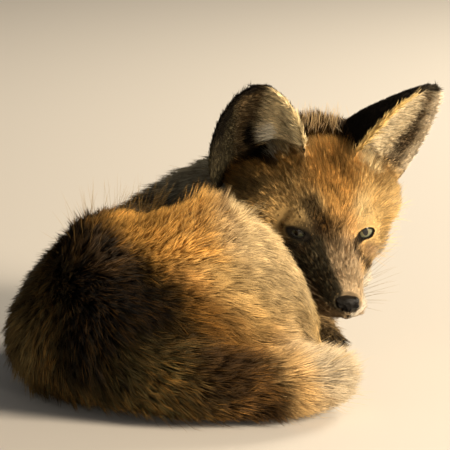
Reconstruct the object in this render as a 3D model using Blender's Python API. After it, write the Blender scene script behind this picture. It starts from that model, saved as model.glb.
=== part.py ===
"""A young red fox, about seven weeks old, curled up on the ground on its left side and looking
back over its right hip, as a life-size still model.

The body is laid out in millimetres: +X to the right of someone who faces the fox's rump, +Y away
from them, +Z up, with the ground at zero.  The head has its own axes (to its left, forward, up).
Every outline is the outline of the coat.  Each part of the body is one closed solid, and each is
cut back by its neighbours so that a thin gap parts them.
"""
import math

import bmesh
import bpy
from mathutils import Matrix, Vector

MM = 0.001
GAP = 0.4  # the gap that parts two touching solids
BACK_LEAN = (-0.3, 0.0, 1.0)  # the trunk's sections lean to the left, as it sags to the ground
HEAD_TRIANGLES = 1750
EAR_TRIANGLES = 400
SIDES = 20  # sides of a lofted tube
STEPS = 3  # rings that a loft makes between two stations

# The head: the point midway between the eyes, and the three axes.
EYES_MID = Vector((55.4, 110.0, 71.0))
HEAD_LEFT = Vector((0.931, 0.358, -0.066))
HEAD_FORWARD = Vector((0.278, -0.816, -0.507))
EYE_RADIUS = 7.3
EYE_CENTRE = Vector((18.5, -4.2, 0.0))

# The ears, in head coordinates: where the middle of each base is, its tip, and the way it opens.
EAR_BASE = Vector((30.5, -34.5, -5.0))
EAR_TIPS = {1: Vector((43.5, -31.0, 75.0)), -1: Vector((-46.0, -36.5, 69.5))}
EAR_OPENINGS = {1: Vector((0.34, 0.90, 0.0)), -1: Vector((-0.30, 0.92, 0.0))}
EAR_HALF_WIDTH = 24.0
EAR_OUTLINE = (0.86, 0.97, 1.02, 1.03, 1.01, 0.97, 0.90, 0.80, 0.66, 0.47, 0.18)  # base to tip
EAR_THICKNESS = 3.8
EAR_ROOT_BULK = 18.0  # muscle and fur behind the base of the cup

COLOURS = {
    "flank": (0.62, 0.40, 0.17),
    "back": (0.30, 0.17, 0.08),
    "face": (0.55, 0.30, 0.10),
    "ear": (0.12, 0.08, 0.06),
    "leg": (0.20, 0.13, 0.09),
    "white": (0.80, 0.70, 0.55),
    "leather": (0.02, 0.018, 0.018),
    "iris": (0.25, 0.24, 0.16),
}


def clear_scene():
    for old in list(bpy.data.objects):
        bpy.data.objects.remove(old, do_unlink=True)


def material(name, colour, roughness):
    made = bpy.data.materials.new(name)
    made.use_nodes = True
    shader = made.node_tree.nodes["Principled BSDF"]
    shader.inputs["Base Color"].default_value = (*colour, 1.0)
    shader.inputs["Roughness"].default_value = roughness
    shader.inputs["Metallic"].default_value = 0.0
    return made


def new_object(name, mesh):
    made = bpy.data.objects.new(name, mesh)
    bpy.context.scene.collection.objects.link(made)
    return made


def head_axes():
    """The matrix that carries head coordinates to the body's. It mirrors, as left x forward is down."""
    forward = HEAD_FORWARD.normalized()
    left = (HEAD_LEFT - HEAD_LEFT.dot(forward) * forward).normalized()
    up = forward.cross(left)
    turn = Matrix((left, forward, up)).transposed().to_4x4()
    return Matrix.Translation(EYES_MID) @ turn


HEAD = head_axes()


# ---------------------------------------------------------------- shapes


def catmull(a, b, c, d, t):
    """The value at t between b and c on the smooth curve through a, b, c and d."""
    return 0.5 * (
        2 * b + (c - a) * t + (2 * a - 5 * b + 4 * c - d) * t * t + (3 * b - a - 3 * c + d) * t**3
    )


def smooth_stations(stations):
    """More stations, on a smooth curve through the given ones: (centre, half width, half height)."""
    rows = [[*centre, width, height] for centre, width, height in stations]
    rows = [rows[0], *rows, rows[-1]]
    made = []
    for i in range(1, len(rows) - 2):
        for step in range(STEPS):
            made.append([catmull(*values, step / STEPS) for values in zip(*rows[i - 1 : i + 3])])
    made.append(rows[-1])
    return [(Vector(row[:3]), row[3], row[4]) for row in made]


def loft(stations, up=(0, 0, 1), place=None):
    """A closed tube through the stations, oval in section, with round ends."""
    rows = smooth_stations(stations)
    up = Vector(up)
    first, last = rows[0], rows[-1]
    start = (rows[0][0] - rows[1][0]).normalized()
    end = (rows[-1][0] - rows[-2][0]).normalized()
    caps = [math.radians(angle) for angle in (30, 60)]

    def cap(row, way):
        """Rings that close in on the tube's end, as on half an egg."""
        centre, width, height = row
        reach = 0.5 * (width + height)
        return [
            (centre + way * reach * math.sin(a), width * math.cos(a), height * math.cos(a))
            for a in caps
        ]

    rings = [*reversed(cap(first, start)), *rows, *cap(last, end)]
    made = bmesh.new()
    loops = []
    for i, (centre, width, height) in enumerate(rings):
        after, before = rings[min(i + 1, len(rings) - 1)][0], rings[max(i - 1, 0)][0]
        along = (after - before).normalized()
        side = along.cross(up).normalized()
        top = side.cross(along)
        angles = [2 * math.pi * k / SIDES for k in range(SIDES)]
        loops.append(
            [
                made.verts.new(centre + side * width * math.cos(a) + top * height * math.sin(a))
                for a in angles
            ]
        )
    for near, far in zip(loops, loops[1:]):
        for k in range(SIDES):
            made.faces.new((near[k], near[(k + 1) % SIDES], far[(k + 1) % SIDES], far[k]))
    for loop, row, way in ((loops[0], first, start), (loops[-1], last, end)):
        pole = made.verts.new(row[0] + way * 0.5 * (row[1] + row[2]))
        for k in range(SIDES):
            made.faces.new((loop[k], loop[(k + 1) % SIDES], pole))
    bmesh.ops.transform(made, matrix=place or Matrix(), verts=made.verts)
    bmesh.ops.recalc_face_normals(made, faces=made.faces)
    return made


def ball(centre, radii, place=None, turn=(0, 0, 0), detail=3):
    """An ellipsoid. turn is its rotation about X, Y and Z in degrees."""
    made = bmesh.new()
    bmesh.ops.create_icosphere(made, subdivisions=detail, radius=1.0)
    spin = Matrix.Identity(4)
    for degrees, axis in zip(turn, "XYZ"):
        spin = Matrix.Rotation(math.radians(degrees), 4, axis) @ spin
    scale = Matrix.Diagonal((*radii, 1.0))
    matrix = (place or Matrix()) @ Matrix.Translation(centre) @ spin @ scale
    bmesh.ops.transform(made, matrix=matrix, verts=made.verts)
    bmesh.ops.recalc_face_normals(made, faces=made.faces)
    return made


def both_sides(centre, radii, turn=(0, 0, 0)):
    """Two mirrored ellipsoids of the head, one on each side of its midline."""
    (x, y, z), (a, b, c) = centre, turn
    return [ball((s * x, y, z), radii, HEAD, (a, s * b, s * c)) for s in (1, -1)]


def evaluated_mesh(obj):
    bpy.context.view_layer.update()
    graph = bpy.context.evaluated_depsgraph_get()
    return bpy.data.meshes.new_from_object(obj.evaluated_get(graph))


def apply_modifiers(obj):
    mesh = evaluated_mesh(obj)
    obj.modifiers.clear()
    obj.data = mesh
    return obj


def blended(name, shapes, voxel, rounds, triangles):
    """The shapes as one body: joined by a voxel remesh, smoothed, and cut down to so many triangles."""
    joined = bmesh.new()
    for shape in shapes:
        part = bpy.data.meshes.new("part")
        shape.to_mesh(part)
        joined.from_mesh(part)
        shape.free()
        bpy.data.meshes.remove(part)
    mesh = bpy.data.meshes.new(name)
    bmesh.ops.scale(joined, vec=(MM, MM, MM), verts=joined.verts)
    joined.to_mesh(mesh)
    joined.free()
    body = new_object(name, mesh)
    remesh = body.modifiers.new("remesh", "REMESH")
    remesh.mode = "VOXEL"
    remesh.voxel_size = voxel * MM
    smooth = body.modifiers.new("smooth", "SMOOTH")
    smooth.factor = 0.5
    smooth.iterations = rounds
    apply_modifiers(body)
    faces = sum(len(p.vertices) - 2 for p in body.data.polygons)
    decimate = body.modifiers.new("decimate", "DECIMATE")
    decimate.ratio = min(1.0, triangles / faces)
    apply_modifiers(body)
    return body


# ---------------------------------------------------------------- the parts of the body


def make_head():
    """Skull, muzzle, jaw and the fluff of the cheeks, in head coordinates."""
    muzzle = [
        ((0, 37.0, -16.5), 10.0, 8.2),
        ((0, 30, -16.5), 13.0, 11.0),
        ((0, 20, -17.0), 16.6, 13.3),
        ((0, 8, -16.5), 22.0, 17.0),
        ((0, -8, -13.0), 30.0, 22.0),
    ]
    jaw = [
        ((0, 30, -26.5), 7.4, 5.2),
        ((0, 16, -28.5), 12.0, 7.5),
        ((0, 0, -31.0), 20.0, 10.0),
        ((0, -20, -31.0), 28.0, 14.0),
    ]
    shapes = [
        loft(muzzle, place=HEAD),
        loft(jaw, place=HEAD),
        ball((0, -31, 3), (35, 36, 29), HEAD),
        ball((0, -54, 4), (33, 24, 26), HEAD),
        ball((0, -8, 3), (14, 14, 10), HEAD),
        *both_sides((14.5, -9, 7), (11, 12, 8)),
        *both_sides((25.5, -18, -13), (16.5, 21, 16), (0, 0, 12)),
        *both_sides((29, -30, -15), (15.5, 20, 16), (0, 0, 20)),
        *both_sides((6.4, 32.5, -19.8), (7.8, 9.5, 7.4)),
        *both_sides((28, -30, 1), (20.5, 24, 18)),
        *both_sides((16.5, 3, -21.5), (10, 16, 9.5)),
    ]
    return blended("head", shapes, 1.6, 7, HEAD_TRIANGLES)


def make_eye(side):
    """An eyeball. side is 1 on the fox's left and -1 on its right."""
    name = "eye_left" if side > 0 else "eye_right"
    centre = Vector((side * EYE_CENTRE.x, EYE_CENTRE.y, EYE_CENTRE.z))
    shape = ball(centre, (EYE_RADIUS,) * 3, HEAD)
    return whole(name, shape)


def whole(name, shape):
    mesh = bpy.data.meshes.new(name)
    bmesh.ops.scale(shape, vec=(MM, MM, MM), verts=shape.verts)
    shape.to_mesh(mesh)
    shape.free()
    return new_object(name, mesh)


def make_nose():
    return blended(
        "nose",
        [
            ball((0, 40.0, -12.4), (7.4, 5.0, 4.8), HEAD),
            ball((0, 41.0, -16.4), (4.5, 4.2, 5.0), HEAD),
        ],
        0.6,
        4,
        260,
    )


def make_ear(side):
    """A cupped leaf: the back is round, the front is hollow, and the tip is blunt."""
    across_steps = 12
    along_steps = 3 * (len(EAR_OUTLINE) - 1)
    base = Vector((side * EAR_BASE.x, EAR_BASE.y, EAR_BASE.z))
    axis = EAR_TIPS[side] - base
    length = axis.length
    axis.normalize()
    facing = EAR_OPENINGS[side]
    facing = (facing - facing.dot(axis) * axis).normalized()
    across = axis.cross(facing).normalized()
    marks = [EAR_OUTLINE[0], *EAR_OUTLINE, EAR_OUTLINE[-1]]

    made = bmesh.new()
    layers = []
    for outside in (False, True):
        rows = []
        for j in range(along_steps + 1):
            t = j / along_steps
            k = min(j // 3, len(EAR_OUTLINE) - 2)
            width = EAR_HALF_WIDTH * catmull(*marks[k : k + 4], j / 3 - k)
            depth = width * (0.90 - 0.50 * t)
            skin = EAR_THICKNESS if outside else 0.0
            bulk = EAR_ROOT_BULK * (1 - t) ** 1.1 if outside else 0.0
            row = []
            for i in range(across_steps + 1):
                s = -1 + 2 * i / across_steps
                bow = 1 - abs(s) ** 2.2
                lean = 5.0 * t * t  # the tip leans forward
                at = base + axis * (t * length) + across * s * (width + 0.35 * skin)
                back = depth * bow + skin + bulk * bow - lean
                row.append(made.verts.new(at - facing * back))
            rows.append(row)
        layers.append(rows)
    inner, outer = layers
    for rows, turned in ((inner, False), (outer, True)):
        for low, high in zip(rows, rows[1:]):
            for i in range(across_steps):
                quad = (low[i], low[i + 1], high[i + 1], high[i])
                made.faces.new(reversed(quad) if turned else quad)
    rims = []
    for rows in layers:
        up = [row[0] for row in rows]
        down = [row[-1] for row in reversed(rows)]
        rims.append([*up, *rows[-1][1:-1], *down, *reversed(rows[0][1:-1])])
    for k in range(len(rims[0])):
        n = (k + 1) % len(rims[0])
        made.faces.new((rims[0][k], rims[0][n], rims[1][n], rims[1][k]))
    bmesh.ops.transform(made, matrix=HEAD, verts=made.verts)
    bmesh.ops.recalc_face_normals(made, faces=made.faces)
    return blended("ear_left" if side > 0 else "ear_right", [made], 0.9, 4, EAR_TRIANGLES)


def toes(stations):
    """Four toes at the end of a paw; the middle two reach further."""
    end = Vector(stations[-1][0])
    along = end - Vector(stations[-2][0])
    along.z = 0
    along.normalize()
    across = Vector((-along.y, along.x, 0))
    heading = math.degrees(math.atan2(along.y, along.x))
    made = []
    for offset, reach in ((-7.6, 4.0), (-2.7, 7.5), (2.7, 7.5), (7.6, 4.0)):
        at = end + across * offset + along * reach
        made.append(ball((at.x, at.y, 5.6), (7.2, 3.6, 5.4), turn=(0, 0, heading + 1.6 * offset)))
    return made


def make_neck():
    stations = [
        ((-20, 196, 54), 34, 36),
        ((0, 186, 66), 34, 34),
        ((22, 170, 82), 33, 33),
        ((40, 154, 88), 30, 29),
    ]
    return blended("neck", [loft(stations)], 2.6, 4, 320)


def make_trunk():
    """From the rump, nearest the viewer, along the back that bows out to the left, to the chest."""
    stations = [
        ((-54, 4, 34), 32, 34),
        ((-60, 30, 35), 50, 37),
        ((-63, 72, 35), 53, 37),
        ((-62, 116, 36), 51, 38),
        ((-52, 160, 36), 47, 38),
        ((-28, 196, 41), 41, 41),
        ((2, 210, 42), 32, 37),
    ]
    shapes = [
        loft(stations, up=BACK_LEAN),
        ball((-56, 48, 53), (39, 62, 44)),
        ball((-22, 112, 34), (34, 62, 36)),
    ]
    return blended("trunk", shapes, 2.8, 6, 760)


def make_hind_leg_right():
    """The upper leg: a broad haunch, the shin folded back under it, and the foot forward again."""
    shin = [((30, 60, 34), 20, 22), ((18, 40, 26), 17, 20), ((8, 18, 19), 14, 17)]
    foot = [((4, 14, 13), 12, 13), ((30, 26, 11), 10.5, 11), ((46, 35, 8.5), 10.5, 8.5)]
    shapes = [
        ball((-15, 32, 54), (47, 46, 51)),
        ball((10, 38, 45), (37, 42, 56), turn=(0, -24, 0)),
        loft(shin),
        loft(foot),
        *toes(foot),
    ]
    return blended("leg_hind_right", shapes, 2.2, 4, 700)


def make_hind_leg_left():
    """The lower leg, folded on the ground under the belly."""
    thigh = [((-34, 62, 26), 24, 26), ((-4, 82, 20), 18, 20), ((16, 84, 16), 13, 15)]
    foot = [((8, 66, 13), 12, 13), ((30, 66, 10.5), 10.5, 11), ((46, 69, 8.5), 10.5, 8.5)]
    return blended("leg_hind_left", [loft(thigh), loft(foot), *toes(foot)], 2.0, 4, 380)


def make_foreleg_right():
    stations = [
        ((0, 194, 48), 22, 30),
        ((14, 184, 26), 18, 20),
        ((32, 158, 17), 14, 15),
        ((46, 132, 13), 12, 12.5),
        ((52, 112, 10.5), 12, 11),
        ((53, 101, 8.5), 10.5, 8.5),
    ]
    return blended("leg_front_right", [loft(stations), *toes(stations)], 2.0, 4, 380)


def make_foreleg_left():
    stations = [
        ((-24, 220, 44), 20, 28),
        ((-4, 224, 22), 17, 18),
        ((20, 210, 16), 14, 14.5),
        ((38, 190, 12.5), 12, 12.5),
        ((46, 170, 10.5), 12, 11),
        ((49, 159, 8.5), 10.5, 8.5),
    ]
    return blended("leg_front_left", [loft(stations), *toes(stations)], 2.0, 4, 380)


TAIL_LINE = [
    ((-54, 8, 33), 22, 25),
    ((-38, -9, 25), 22, 24),
    ((-12, -16, 20), 21.5, 22.5),
    ((18, -13, 19), 21, 21.5),
    ((42, -2, 18), 19.5, 20.5),
    ((54, 12, 17.5), 17, 18.5),
]


def make_tail():
    return blended("tail", [loft(TAIL_LINE)], 2.4, 4, 520)


# ---------------------------------------------------------------- parting the solids


def cutter_of(obj, grow):
    """A hidden copy of the uncut object, swollen by grow, that cuts its neighbours."""
    cutter = new_object(f"cut_by_{obj.name}", obj.data.copy())
    swell = cutter.modifiers.new("swell", "DISPLACE")
    swell.strength = grow * MM
    swell.mid_level = 0.0
    apply_modifiers(cutter)
    cutter.hide_render = True
    cutter.display_type = "WIRE"
    return cutter


def cut(obj, cutter, operation="DIFFERENCE"):
    boolean = obj.modifiers.new("cut", "BOOLEAN")
    boolean.operation = operation
    boolean.solver = "EXACT"
    boolean.object = cutter
    apply_modifiers(obj)
    keep_largest(obj)


def keep_largest(obj):
    """Drops the crumbs that a cut may leave beside the main body."""
    made = bmesh.new()
    made.from_mesh(obj.data)
    bmesh.ops.remove_doubles(made, verts=made.verts, dist=0.00002)
    unseen = set(made.verts)
    groups = []
    while unseen:
        stack = [unseen.pop()]
        group = set(stack)
        while stack:
            for edge in stack.pop().link_edges:
                for vert in edge.verts:
                    if vert in unseen:
                        unseen.discard(vert)
                        group.add(vert)
                        stack.append(vert)
        groups.append(group)
    main = max(groups, key=len)
    bmesh.ops.delete(made, geom=[v for v in made.verts if v not in main], context="VERTS")
    made.to_mesh(obj.data)
    made.free()


def box(name, low, high):
    made = bmesh.new()
    bmesh.ops.create_cube(made, size=1.0)
    size = Vector(high) - Vector(low)
    middle = (Vector(high) + Vector(low)) / 2
    matrix = Matrix.Translation(middle) @ Matrix.Diagonal((*size, 1.0))
    bmesh.ops.transform(made, matrix=matrix, verts=made.verts)
    made_box = whole(name, made)
    made_box.hide_render = True
    made_box.display_type = "WIRE"
    return made_box


def part_solids(parts):
    """Cuts each solid back from the ones that it would run into, and from the ground."""
    order = [
        ("head", ("eye_left", "eye_right", "nose")),
        ("ear_left", ("head",)),
        ("ear_right", ("head",)),
        ("neck", ("head", "ear_left", "ear_right")),
        ("leg_front_right", ("neck", "head")),
        ("leg_front_left", ("neck", "head", "leg_front_right")),
        ("leg_hind_right", ("head", "leg_front_right")),
        ("leg_hind_left", ("leg_hind_right", "leg_front_right", "head")),
        (
            "trunk",
            (
                "neck",
                "leg_front_right",
                "leg_front_left",
                "leg_hind_right",
                "leg_hind_left",
                "head",
                "ear_right",
            ),
        ),
        ("tail", ("trunk", "leg_hind_right", "leg_hind_left")),
    ]
    cutting = sorted({other for _, others in order for other in others})
    cutters = {other: cutter_of(parts[other], GAP) for other in cutting}
    ground = box("ground", (-400, -400, -100), (400, 500, 0))
    for name, others in order:
        for other in others:
            if boxes_meet(parts[name], cutters[other]):
                cut(parts[name], cutters[other])
        if name.startswith(("leg", "trunk", "tail")):
            cut(parts[name], ground)


def extent(obj):
    points = [obj.matrix_world @ v.co for v in obj.data.vertices]
    low = Vector(map(min, *points))
    high = Vector(map(max, *points))
    return low, high


def boxes_meet(a, b):
    (low_a, high_a), (low_b, high_b) = extent(a), extent(b)
    return all(low_a[i] < high_b[i] and low_b[i] < high_a[i] for i in range(3))


def split_tail(tail):
    """The white tip is a piece of its own, parted by a plane across the tail."""
    at, before = Vector(TAIL_LINE[4][0]), Vector(TAIL_LINE[3][0])
    cut_at = before.lerp(at, 0.35)
    along = (at - before).normalized()
    turn = along.to_track_quat("X", "Z").to_matrix().to_4x4()
    tip = new_object("tail_tip", tail.data.copy())
    for obj, low, high in ((tail, -GAP / 2, 200), (tip, -200, GAP / 2)):
        half = box(f"cut_{obj.name}", (low, -150, -150), (high, 150, 150))
        half.data.transform(Matrix.Translation(cut_at * MM) @ turn)
        cut(obj, half)
    return tip


def main():
    clear_scene()
    parts = {}
    makers = (
        make_head,
        lambda: make_eye(1),
        lambda: make_eye(-1),
        make_nose,
        lambda: make_ear(1),
        lambda: make_ear(-1),
        make_neck,
        make_foreleg_right,
        make_foreleg_left,
        make_hind_leg_right,
        make_hind_leg_left,
        make_trunk,
        make_tail,
    )
    for maker in makers:
        made = maker()
        parts[made.name] = made
    part_solids(parts)
    parts["tail_tip"] = split_tail(parts["tail"])
    finishes = {
        "head": "face",
        "neck": "back",
        "trunk": "back",
        "tail": "back",
        "tail_tip": "white",
        "nose": "leather",
        "eye": "iris",
        "ear": "ear",
        "leg_hind_right": "flank",
        "leg": "leg",
    }
    made_materials = {name: material(name, rgb, 0.8) for name, rgb in COLOURS.items()}
    for name, obj in parts.items():
        kind = name if name in finishes else name.split("_")[0]
        obj.data.materials.clear()
        obj.data.materials.append(made_materials[finishes[kind]])
        obj.data.shade_smooth()
        obj.data.set_sharp_from_angle(angle=math.radians(40))
    centre_on_origin(parts.values())


def centre_on_origin(objects):
    """Sets the origin under the middle of the whole fox, on the ground."""
    corners = [extent(obj) for obj in objects]
    low = Vector(map(min, *(c[0] for c in corners)))
    high = Vector(map(max, *(c[1] for c in corners)))
    shift = Matrix.Translation((-(low.x + high.x) / 2, -(low.y + high.y) / 2, -low.z))
    for obj in objects:
        obj.data.transform(shift)


main()
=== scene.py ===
"""The looks of the curled-up young fox: skin, coat, eyes, nose, claws, whiskers, light and camera.

Lengths are in millimetres until a mesh is made. The body's own coordinates are those of the CAD
source: +X to the right of a viewer who faces the rump, +Y away, +Z up. The head has its own axes:
L to the fox's left, F forward and U up, from the point between its eyes. A side is 1 on the fox's
left and -1 on its right.
"""

import math

import bmesh
import bpy
import numpy as np
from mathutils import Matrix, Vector
from mathutils.bvhtree import BVHTree
from mathutils.kdtree import KDTree


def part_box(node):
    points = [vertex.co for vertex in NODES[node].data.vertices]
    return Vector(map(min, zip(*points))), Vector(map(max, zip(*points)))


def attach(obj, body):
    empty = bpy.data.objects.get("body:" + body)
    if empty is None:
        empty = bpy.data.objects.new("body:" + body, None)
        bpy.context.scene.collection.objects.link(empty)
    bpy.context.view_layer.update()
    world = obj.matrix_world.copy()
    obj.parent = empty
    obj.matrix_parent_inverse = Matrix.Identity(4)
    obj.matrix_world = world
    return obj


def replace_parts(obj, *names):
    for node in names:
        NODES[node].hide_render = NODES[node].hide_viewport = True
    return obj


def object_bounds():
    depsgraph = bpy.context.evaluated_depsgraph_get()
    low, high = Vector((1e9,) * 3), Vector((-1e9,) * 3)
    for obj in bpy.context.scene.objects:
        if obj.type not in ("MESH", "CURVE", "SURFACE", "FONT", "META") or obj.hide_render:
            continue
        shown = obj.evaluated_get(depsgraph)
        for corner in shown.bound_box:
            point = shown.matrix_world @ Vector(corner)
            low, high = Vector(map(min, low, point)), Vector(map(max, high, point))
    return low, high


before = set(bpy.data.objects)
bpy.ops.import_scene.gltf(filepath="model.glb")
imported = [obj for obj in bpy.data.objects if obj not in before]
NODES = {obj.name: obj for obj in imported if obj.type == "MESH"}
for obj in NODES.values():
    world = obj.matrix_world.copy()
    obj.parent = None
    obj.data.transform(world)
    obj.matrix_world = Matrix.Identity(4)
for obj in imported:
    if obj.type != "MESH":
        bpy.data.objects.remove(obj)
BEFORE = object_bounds()
MM = 0.001
RNG = np.random.default_rng(11)
FLESH = sorted(n for n in NODES if not n.startswith(("eye", "nose")))

# ---------------------------------------------------------------- layout, from the CAD source
HEAD_F = np.array((0.278, -0.816, -0.507))
HEAD_F /= np.linalg.norm(HEAD_F)
HEAD_L = np.array((0.931, 0.358, -0.066))
HEAD_L -= HEAD_L @ HEAD_F * HEAD_F
HEAD_L /= np.linalg.norm(HEAD_L)
HEAD_AXES = np.array((HEAD_L, HEAD_F, np.cross(HEAD_F, HEAD_L)))
EYE_RADIUS = 7.3
EYE_AT = np.array((18.5, -4.2, 0.0))
EYES_MID_BODY = np.array((55.4, 110.0, 71.0))
EAR_BASE = np.array((30.5, -34.5, -5.0))
EAR_TIPS = {1: np.array((43.5, -31.0, 75.0)), -1: np.array((-46.0, -36.5, 69.5))}
EAR_OPENINGS = {1: np.array((0.34, 0.90, 0.0)), -1: np.array((-0.30, 0.92, 0.0))}
EAR_HALF_WIDTH = 24
EAR_SIDES = (("ear_left", 1), ("ear_right", -1))

# The run of each part from its root to its end: the hair lies along it.
LINES = {
    "trunk": [(2, 210, 42), (-28, 196, 41), (-52, 160, 36), (-62, 116, 36), (-63, 72, 35),
              (-60, 30, 35), (-50, 0, 30), (-30, -16, 22)],
    "neck": [(52, 140, 88), (40, 154, 88), (22, 170, 82), (0, 186, 66), (-20, 196, 54), (-45, 190, 40)],
    "tail": [(-54, 8, 33), (-38, -9, 25), (-12, -16, 20), (18, -13, 19), (42, -2, 18), (60, 20, 18)],
    "leg_hind_right": [(-40, 20, 70), (-15, 25, 66), (15, 30, 55), (34, 36, 38), (44, 40, 18), (46, 40, 0)],
    "leg_hind_left": [(-34, 62, 26), (-4, 72, 20), (16, 68, 15), (46, 69, 8), (60, 70, 6)],
    "leg_front_right": [(0, 194, 48), (14, 184, 26), (32, 158, 17), (46, 132, 13), (53, 98, 8)],
    "leg_front_left": [(-24, 220, 44), (-4, 224, 22), (20, 210, 16), (38, 190, 12), (50, 156, 8)],
}
LINES["tail_tip"] = LINES["tail"]


def box_mid(node):
    low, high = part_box(node)
    return np.array((low + high) / 2) / MM


HEAD_O = (box_mid("eye_left") + box_mid("eye_right")) / 2 - EYE_AT[1] * HEAD_F
SHIFT = HEAD_O - EYES_MID_BODY


def to_head(p):
    return (p - HEAD_O) @ HEAD_AXES.T


def from_head(p):
    return np.asarray(p, float) @ HEAD_AXES + HEAD_O


def to_body(p):
    return p - SHIFT


# ---------------------------------------------------------------- small helpers


def size(v):
    return np.linalg.norm(v, axis=-1)


def unit(v):
    return v / np.maximum(size(v)[..., None], 1e-9)


def ramp(low, high, x):
    """Rises smoothly from 0 at low to 1 at high."""
    t = np.clip((x - low) / (high - low), 0, 1)
    return t * t * (3 - 2 * t)


def blob(p, centre, radius, gain=1.0):
    """1 at the centre, 0 from radius outwards; a gain above 1 widens the full part."""
    return np.clip(gain * (1 - ramp(0, 1, size((p - np.asarray(centre)) / radius))), 0, 1)


def mix(a, b, t):
    a = np.asarray(a)
    return a + (np.asarray(b) - a) * np.asarray(t)[..., None]


def capped(colours, low):
    """Colours above the brightest that fur can be are scaled down, so that they keep their hue."""
    return np.maximum(colours * np.minimum(1, 0.97 / colours.max(-1, keepdims=True)), low)


def hashed(i, j, k, seed):
    h = (i * 374761393 + j * 668265263 + k * 1440662683 + seed * 1274126177) & 0xFFFFFFFF
    h = ((h ^ (h >> 13)) * 1274126177) & 0xFFFFFFFF
    return ((h ^ (h >> 16)) & 0xFFFF) / 32767.5 - 1


def noise(p, grain, seed=0):
    """Smooth noise from -1 to 1 with features of about that size."""
    q = p / grain + 1000.0
    cell = np.floor(q).astype(np.int64)
    t = q - cell
    t = t * t * (3 - 2 * t)
    made = 0
    for corner in range(8):
        d = np.array([corner & 1, corner >> 1 & 1, corner >> 2 & 1])
        made = made + np.prod(np.where(d, t, 1 - t), axis=1) * hashed(*(cell + d).T, seed)
    return made


def nearest(points, targets):
    """For each point, the index of the closest target."""
    tree = KDTree(len(targets))
    for i, p in enumerate(targets.tolist()):
        tree.insert(p, i)
    tree.balance()
    return np.array([tree.find(p)[1] for p in points.tolist()])


def place(name, mesh):
    """A new object in the scene that has this mesh."""
    made = bpy.data.objects.new(name, mesh)
    bpy.context.scene.collection.objects.link(made)
    return made


def make_mesh(name, verts_mm, faces):
    mesh = bpy.data.meshes.new(name)
    mesh.from_pydata((np.asarray(verts_mm, float) * MM).tolist(), [], faces)
    mesh.update()
    mesh.shade_smooth()
    return place(name, mesh)


def mesh_of(name, part):
    """The bmesh as a mesh."""
    mesh = bpy.data.meshes.new(name)
    part.to_mesh(mesh)
    part.free()
    return mesh


def join(joined, part):
    """Adds one bmesh to the other and frees it."""
    mesh = mesh_of("part", part)
    joined.from_mesh(mesh)
    bpy.data.meshes.remove(mesh)


def face_out(mesh):
    """Turns the normals of all faces outwards."""
    part = bmesh.new()
    part.from_mesh(mesh)
    bmesh.ops.recalc_face_normals(part, faces=part.faces)
    part.to_mesh(mesh)
    part.free()


def move_points(mesh, points_mm):
    mesh.vertices.foreach_set("co", (points_mm * MM).astype(np.float32).ravel())


def colour_points(mesh, colours):
    """Writes the colours that the materials read."""
    layer = mesh.attributes.new("Coat", "FLOAT_COLOR", "POINT")
    layer.data.foreach_set("color", np.c_[colours, np.ones(len(colours))].astype(np.float32).ravel())


def dress(obj, surface):
    obj.data.materials.append(surface)
    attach(obj, "root")
    return obj


def apply_modifiers(obj):
    bpy.context.view_layer.update()
    graph = bpy.context.evaluated_depsgraph_get()
    mesh = bpy.data.meshes.new_from_object(obj.evaluated_get(graph))
    obj.modifiers.clear()
    obj.data = mesh


def voxel_remesh(obj, voxel_mm):
    remesh = obj.modifiers.new("remesh", "REMESH")
    remesh.mode = "VOXEL"
    remesh.voxel_size = voxel_mm * MM
    apply_modifiers(obj)


def arrays(mesh):
    """The points of a mesh and its triangles."""
    mesh.calc_loop_triangles()
    v = np.empty(len(mesh.vertices) * 3, np.float32)
    mesh.vertices.foreach_get("co", v)
    t = np.empty(len(mesh.loop_triangles) * 3, np.int32)
    mesh.loop_triangles.foreach_get("vertices", t)
    return v.reshape(-1, 3).astype(float) / MM, t.reshape(-1, 3)


def vertex_normals(v, t):
    face = np.cross(v[t[:, 1]] - v[t[:, 0]], v[t[:, 2]] - v[t[:, 0]])
    made = np.zeros_like(v)
    for c in range(3):
        for axis in range(3):
            made[:, axis] += np.bincount(t[:, c], face[:, axis], len(v))
    return unit(made)


class Web:
    """The edges of a mesh, for smoothing values over it."""

    def __init__(self, count, t):
        e = np.concatenate((t[:, [0, 1]], t[:, [1, 2]], t[:, [2, 0]]))
        self.a = np.concatenate((e[:, 0], e[:, 1]))
        self.b = np.concatenate((e[:, 1], e[:, 0]))
        self.count = count
        self.degree = np.maximum(np.bincount(self.a, minlength=count), 1)

    def smooth(self, values, rounds, factor=0.5):
        values = values.copy()
        flat = values.reshape(self.count, -1)
        for _ in range(rounds):
            for c in range(flat.shape[1]):
                mean = np.bincount(self.a, flat[self.b, c], self.count) / self.degree
                flat[:, c] += factor * (mean - flat[:, c])
        return flat.reshape(values.shape)

    def level(self, points, back):
        """Points smoothed once and pushed back, which keeps the volume."""
        return self.smooth(self.smooth(points, 1, 0.5), 1, back)


# ---------------------------------------------------------------- the skin

LID_REACH = 0.53  # half the angle that the opening spans, in radians
LID_FAR = 1.30  # the angle at which the ring of the lids ends
LID_TOP = {1: 0.36, -1: 0.21}
LID_BOTTOM = {1: 0.36, -1: 0.22}
SWELL = 0.45  # what the solids are swollen by until they meet
GROUND_GAP = 0.3  # nothing of the skin or the claws is lower
SKIN_VOXEL = 1.0
SKIN_FACES = 196_000
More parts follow.
